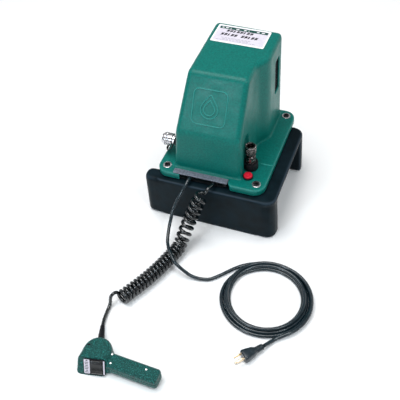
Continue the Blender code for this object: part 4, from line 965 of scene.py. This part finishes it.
def make_label(finishes):
    """Generic graphics on the roof's film: a grey panel, a header band and rows of bars that say nothing."""
    low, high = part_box("name_label")
    middle = (Vector(low) + Vector(high)) / 2
    lie = shift(*middle) @ Matrix.Rotation(ROOF_SLOPE, 4, "X") @ Matrix.Rotation(LABEL_TURN, 4, "Z")
    surface = lie @ shift(0.0, 0.0, 0.0004)
    layers = {key: bmesh.new() for key in LABEL_PIECES}
    add_prism(layers["panel"], rounded_outline(-LABEL_HALF_X, -LABEL_HALF_Y, LABEL_HALF_X, LABEL_HALF_Y, 0.002, 4),
              -0.0001, 0.00006, surface)
    add_prism(layers["band"], rounded_outline(-LABEL_HALF_X + 0.002, 0.0168, LABEL_HALF_X - 0.002, 0.025, 0.0015, 4),
              0.0, 0.00014, surface)
    for left, right in HEADER_BARS:
        slanted_bar(layers["film"], surface, left, right, 0.0196, 0.022, 0.00022, 0.3)
    for row, left, right, height in BOLD_ROWS:
        for i in range(int((right - left) / BOLD_STEP)):
            x = left + BOLD_STEP * i
            slanted_bar(layers["ink"], surface, x, x + 0.0028, row, row + height, 0.00016, 0.25)
            middle_bar = row + height * (0.36 + 0.28 * (i % 2))
            slanted_bar(layers["ink"], surface, x + 0.0024, x + 0.0042, middle_bar - 0.0014, middle_bar + 0.0014,
                        0.00016, 0.25)
            if i % 3 != 2:
                slanted_bar(layers["ink"], surface, x + 0.0036, x + 0.0058, row + height * 0.12, row + height, 0.00018,
                            0.25)
    for row, left, right in FINE_ROWS:
        for i in range(int((right - left) / FINE_STEP)):
            x = left + FINE_STEP * i
            slanted_bar(layers["fine"], surface, x, x + FINE_STEP * 0.8, row, row + 0.0011, 0.00014)
    for key, name in LABEL_PIECES.items():
        piece(new_object(name, layers[key], finishes[key]), "pump", "label_film")


# ---------------------------------------------------------------- pendant

def pendant_matrix():
    return shift(*PENDANT_PLACE) @ Matrix.Rotation(PENDANT_YAW, 4, "Z")


def face_matrix():
    turn = Matrix.Rotation(FACE_YAW, 4, "Z") @ Matrix.Rotation(FACE_TILT, 4, "X")
    return pendant_matrix() @ shift(*FACE_CENTRE) @ turn


def make_pendant(finishes):
    for half in ("lower", "upper"):
        shell = remeshed(f"pendant_shell_{half}", f"handset_{half}", *PENDANT_MESH, finishes["pendant"])
        piece(shell, "pump", "pendant_plastic", f"pendant_shell_{half}")
    matrix = pendant_matrix()
    work = bmesh.new()
    for x, y in HANDLE_SCREWS:
        add_turned(work, [(0.0, -0.002), (0.0021, -0.002), (0.0021, 0.0004), (0.0016, 0.0009), (0.0, 0.0011)],
                   matrix @ shift(x, y, HANDLE_TOP), 24)
    piece(new_object("handset_screws", work, finishes["chrome"]), "pump", "washer_steel")
    work = bmesh.new()
    slot_turn = matrix @ shift(-0.0205, 0.017, 0.0379) @ Matrix.Rotation(math.radians(15), 4, "Z")
    add_prism(work, rounded_outline(-0.0034, -0.0017, 0.0034, 0.0017, 0.0016, 5), -0.002, 0.0002, slot_turn)
    piece(new_object("handset_slot", work, finishes["ink"]), "pump", "rocker_plastic")
    make_switch(finishes)


def make_switch(finishes):
    face = face_matrix()
    plate_low, plate_high = -0.0165, 0.0265
    half_width, half_height = ROCKER_SIZE[0] / 2, ROCKER_SIZE[1] / 2
    left_edge, right_edge = ROCKER_X - half_width - 0.0008, ROCKER_X + half_width + 0.0008
    work = bmesh.new()
    for low, high in ((plate_low + 0.0008, left_edge - 0.0006), (right_edge + 0.0006, plate_high - 0.0006)):
        add_prism(work, rounded_outline(low, -0.016, high, 0.016, 0.001, 3), 0.0017, 0.00205, face)
    piece(new_object("switch_labels", work, finishes["panel"]), "pump", "label_film")
    work = bmesh.new()
    centre = (plate_low + left_edge) / 2
    for i in range(7):
        low = -0.0135 + 0.0037 * i
        reach = (0.0042, 0.003, 0.0036)[i % 3]
        slanted_bar(work, face @ shift(0.0, 0.0, 0.00205), centre - reach, centre + reach * 0.8, low, low + 0.0014,
                    0.0001)
    add_prism(work, [(centre - 0.003, 0.0128), (centre + 0.003, 0.0128), (centre, 0.0152)], 0.00205, 0.00215, face)
    piece(new_object("switch_marks", work, finishes["ink"]), "pump", "label_film")
    make_rocker(finishes, face, half_width, half_height)


def make_rocker(finishes, face, half_width, half_height):
    """The rocker: a shallow valley with ridges for the thumb at both ends."""
    work = bmesh.new()
    steps, across = 48, 12
    rings = []
    for i in range(steps + 1):
        y = half_height * (2 * i / steps - 1)
        share = abs(y) / half_height
        z = 0.0026 + 0.0016 * share ** 1.3 - 0.0011 * ease((share - 0.93) / 0.07)
        if 0.5 < share < 0.88:
            z += 0.00035 * math.cos(2 * math.pi * (share - 0.5) / 0.095)
        bottom = -0.006 + 0.0025 * ease((share - 0.4) / 0.6)
        row, under = [], []
        for k in range(across + 1):
            x = half_width * (2 * k / across - 1)
            edge = 0.0007 * ease((abs(x) / half_width - 0.9) / 0.1)
            row.append(work.verts.new(face @ Vector((ROCKER_X + x, y, z - edge))))
            under.append(work.verts.new(face @ Vector((ROCKER_X + x, y, bottom))))
        rings.append(row + under[::-1])
    for first, second in zip(rings, rings[1:]):
        stitch(work, first, second)
    work.faces.new(rings[0])
    work.faces.new(rings[-1])
    rocker = new_object("thumb_rocker", work, finishes["rocker"], 50.0)
    piece(rocker, "rocker_body", "rocker_plastic", "pendant_rocker")


def make_relief(finishes):
    """The tapered strain relief, ringed with grooves, from the handset to the lead."""
    reach = Vector(RELIEF_TIP) - Vector(RELIEF_BASE)
    matrix = shift(*RELIEF_BASE) @ reach.to_track_quat("Z", "Y").to_matrix().to_4x4()
    length = reach.length
    profile = [(0.0, -0.0065), (0.0058, -0.0065), (0.0058, 0.003), (0.0066, 0.004), (0.0066, 0.008)]
    for i in range(9):
        z = 0.01 + 0.0032 * i
        radius = 0.0064 - 0.0019 * i / 9
        profile += [(radius, z), (radius - 0.0007, z + 0.0004), (radius - 0.0007, z + 0.0012), (radius, z + 0.0016)]
    profile += [(0.0044, length - 0.001), (0.004, length), (0.0, length)]
    piece(turned_piece("handset_relief", finishes["rubber"], profile, matrix, 48), "pump", "pendant_jacket",
          "pendant_relief")


# ---------------------------------------------------------------- CAD nodes that keep their shape

NODE_FINISHES = {
    "oxide": ("pump_plate",),
    "rubber": ("reservoir_gasket",),
    "grille": ("vent_grille",),
    "film": ("name_label",),
    "ink": ("pendant_face",),
    "steel": ("armature", "upper_bearing", "lower_bearing", "drive_gear", "crankshaft", "piston_front", "piston_rear",
              "valve_plunger"),
    "iron": ("motor_can", "motor_stator", "valve_solenoid", "pump_block"),
    "cast": ("motor_end_cap", "gear_case", "valve_block", "cooling_fan"),
    "copper": ("commutator",),
    "carbon": ("brush_left", "brush_right"),
    "brass": ("suction_strainer", "relief_valve"),
}


def finish_nodes(finishes):
    for key, names in NODE_FINISHES.items():
        for name in names:
            materials = frame["nodes"][name].data.materials
            materials.clear()
            materials.append(finishes[key])


def main():
    finishes = make_finishes()
    make_stage()
    make_camera()
    finish_nodes(finishes)
    make_power_cord(finishes, make_plug(finishes))
    make_pendant_cord(finishes)
    make_relief(finishes)
    make_shroud(finishes)
    make_tank(finishes)
    make_fasteners(finishes)
    make_filler(finishes)
    make_clamp(finishes)
    make_supply_coupler(finishes)
    make_lanyard(finishes)
    make_return_coupler(finishes)
    make_label(finishes)
    make_pendant(finishes)


bpy.ops.object.select_all(action="SELECT")
bpy.ops.object.delete()
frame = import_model()
main()
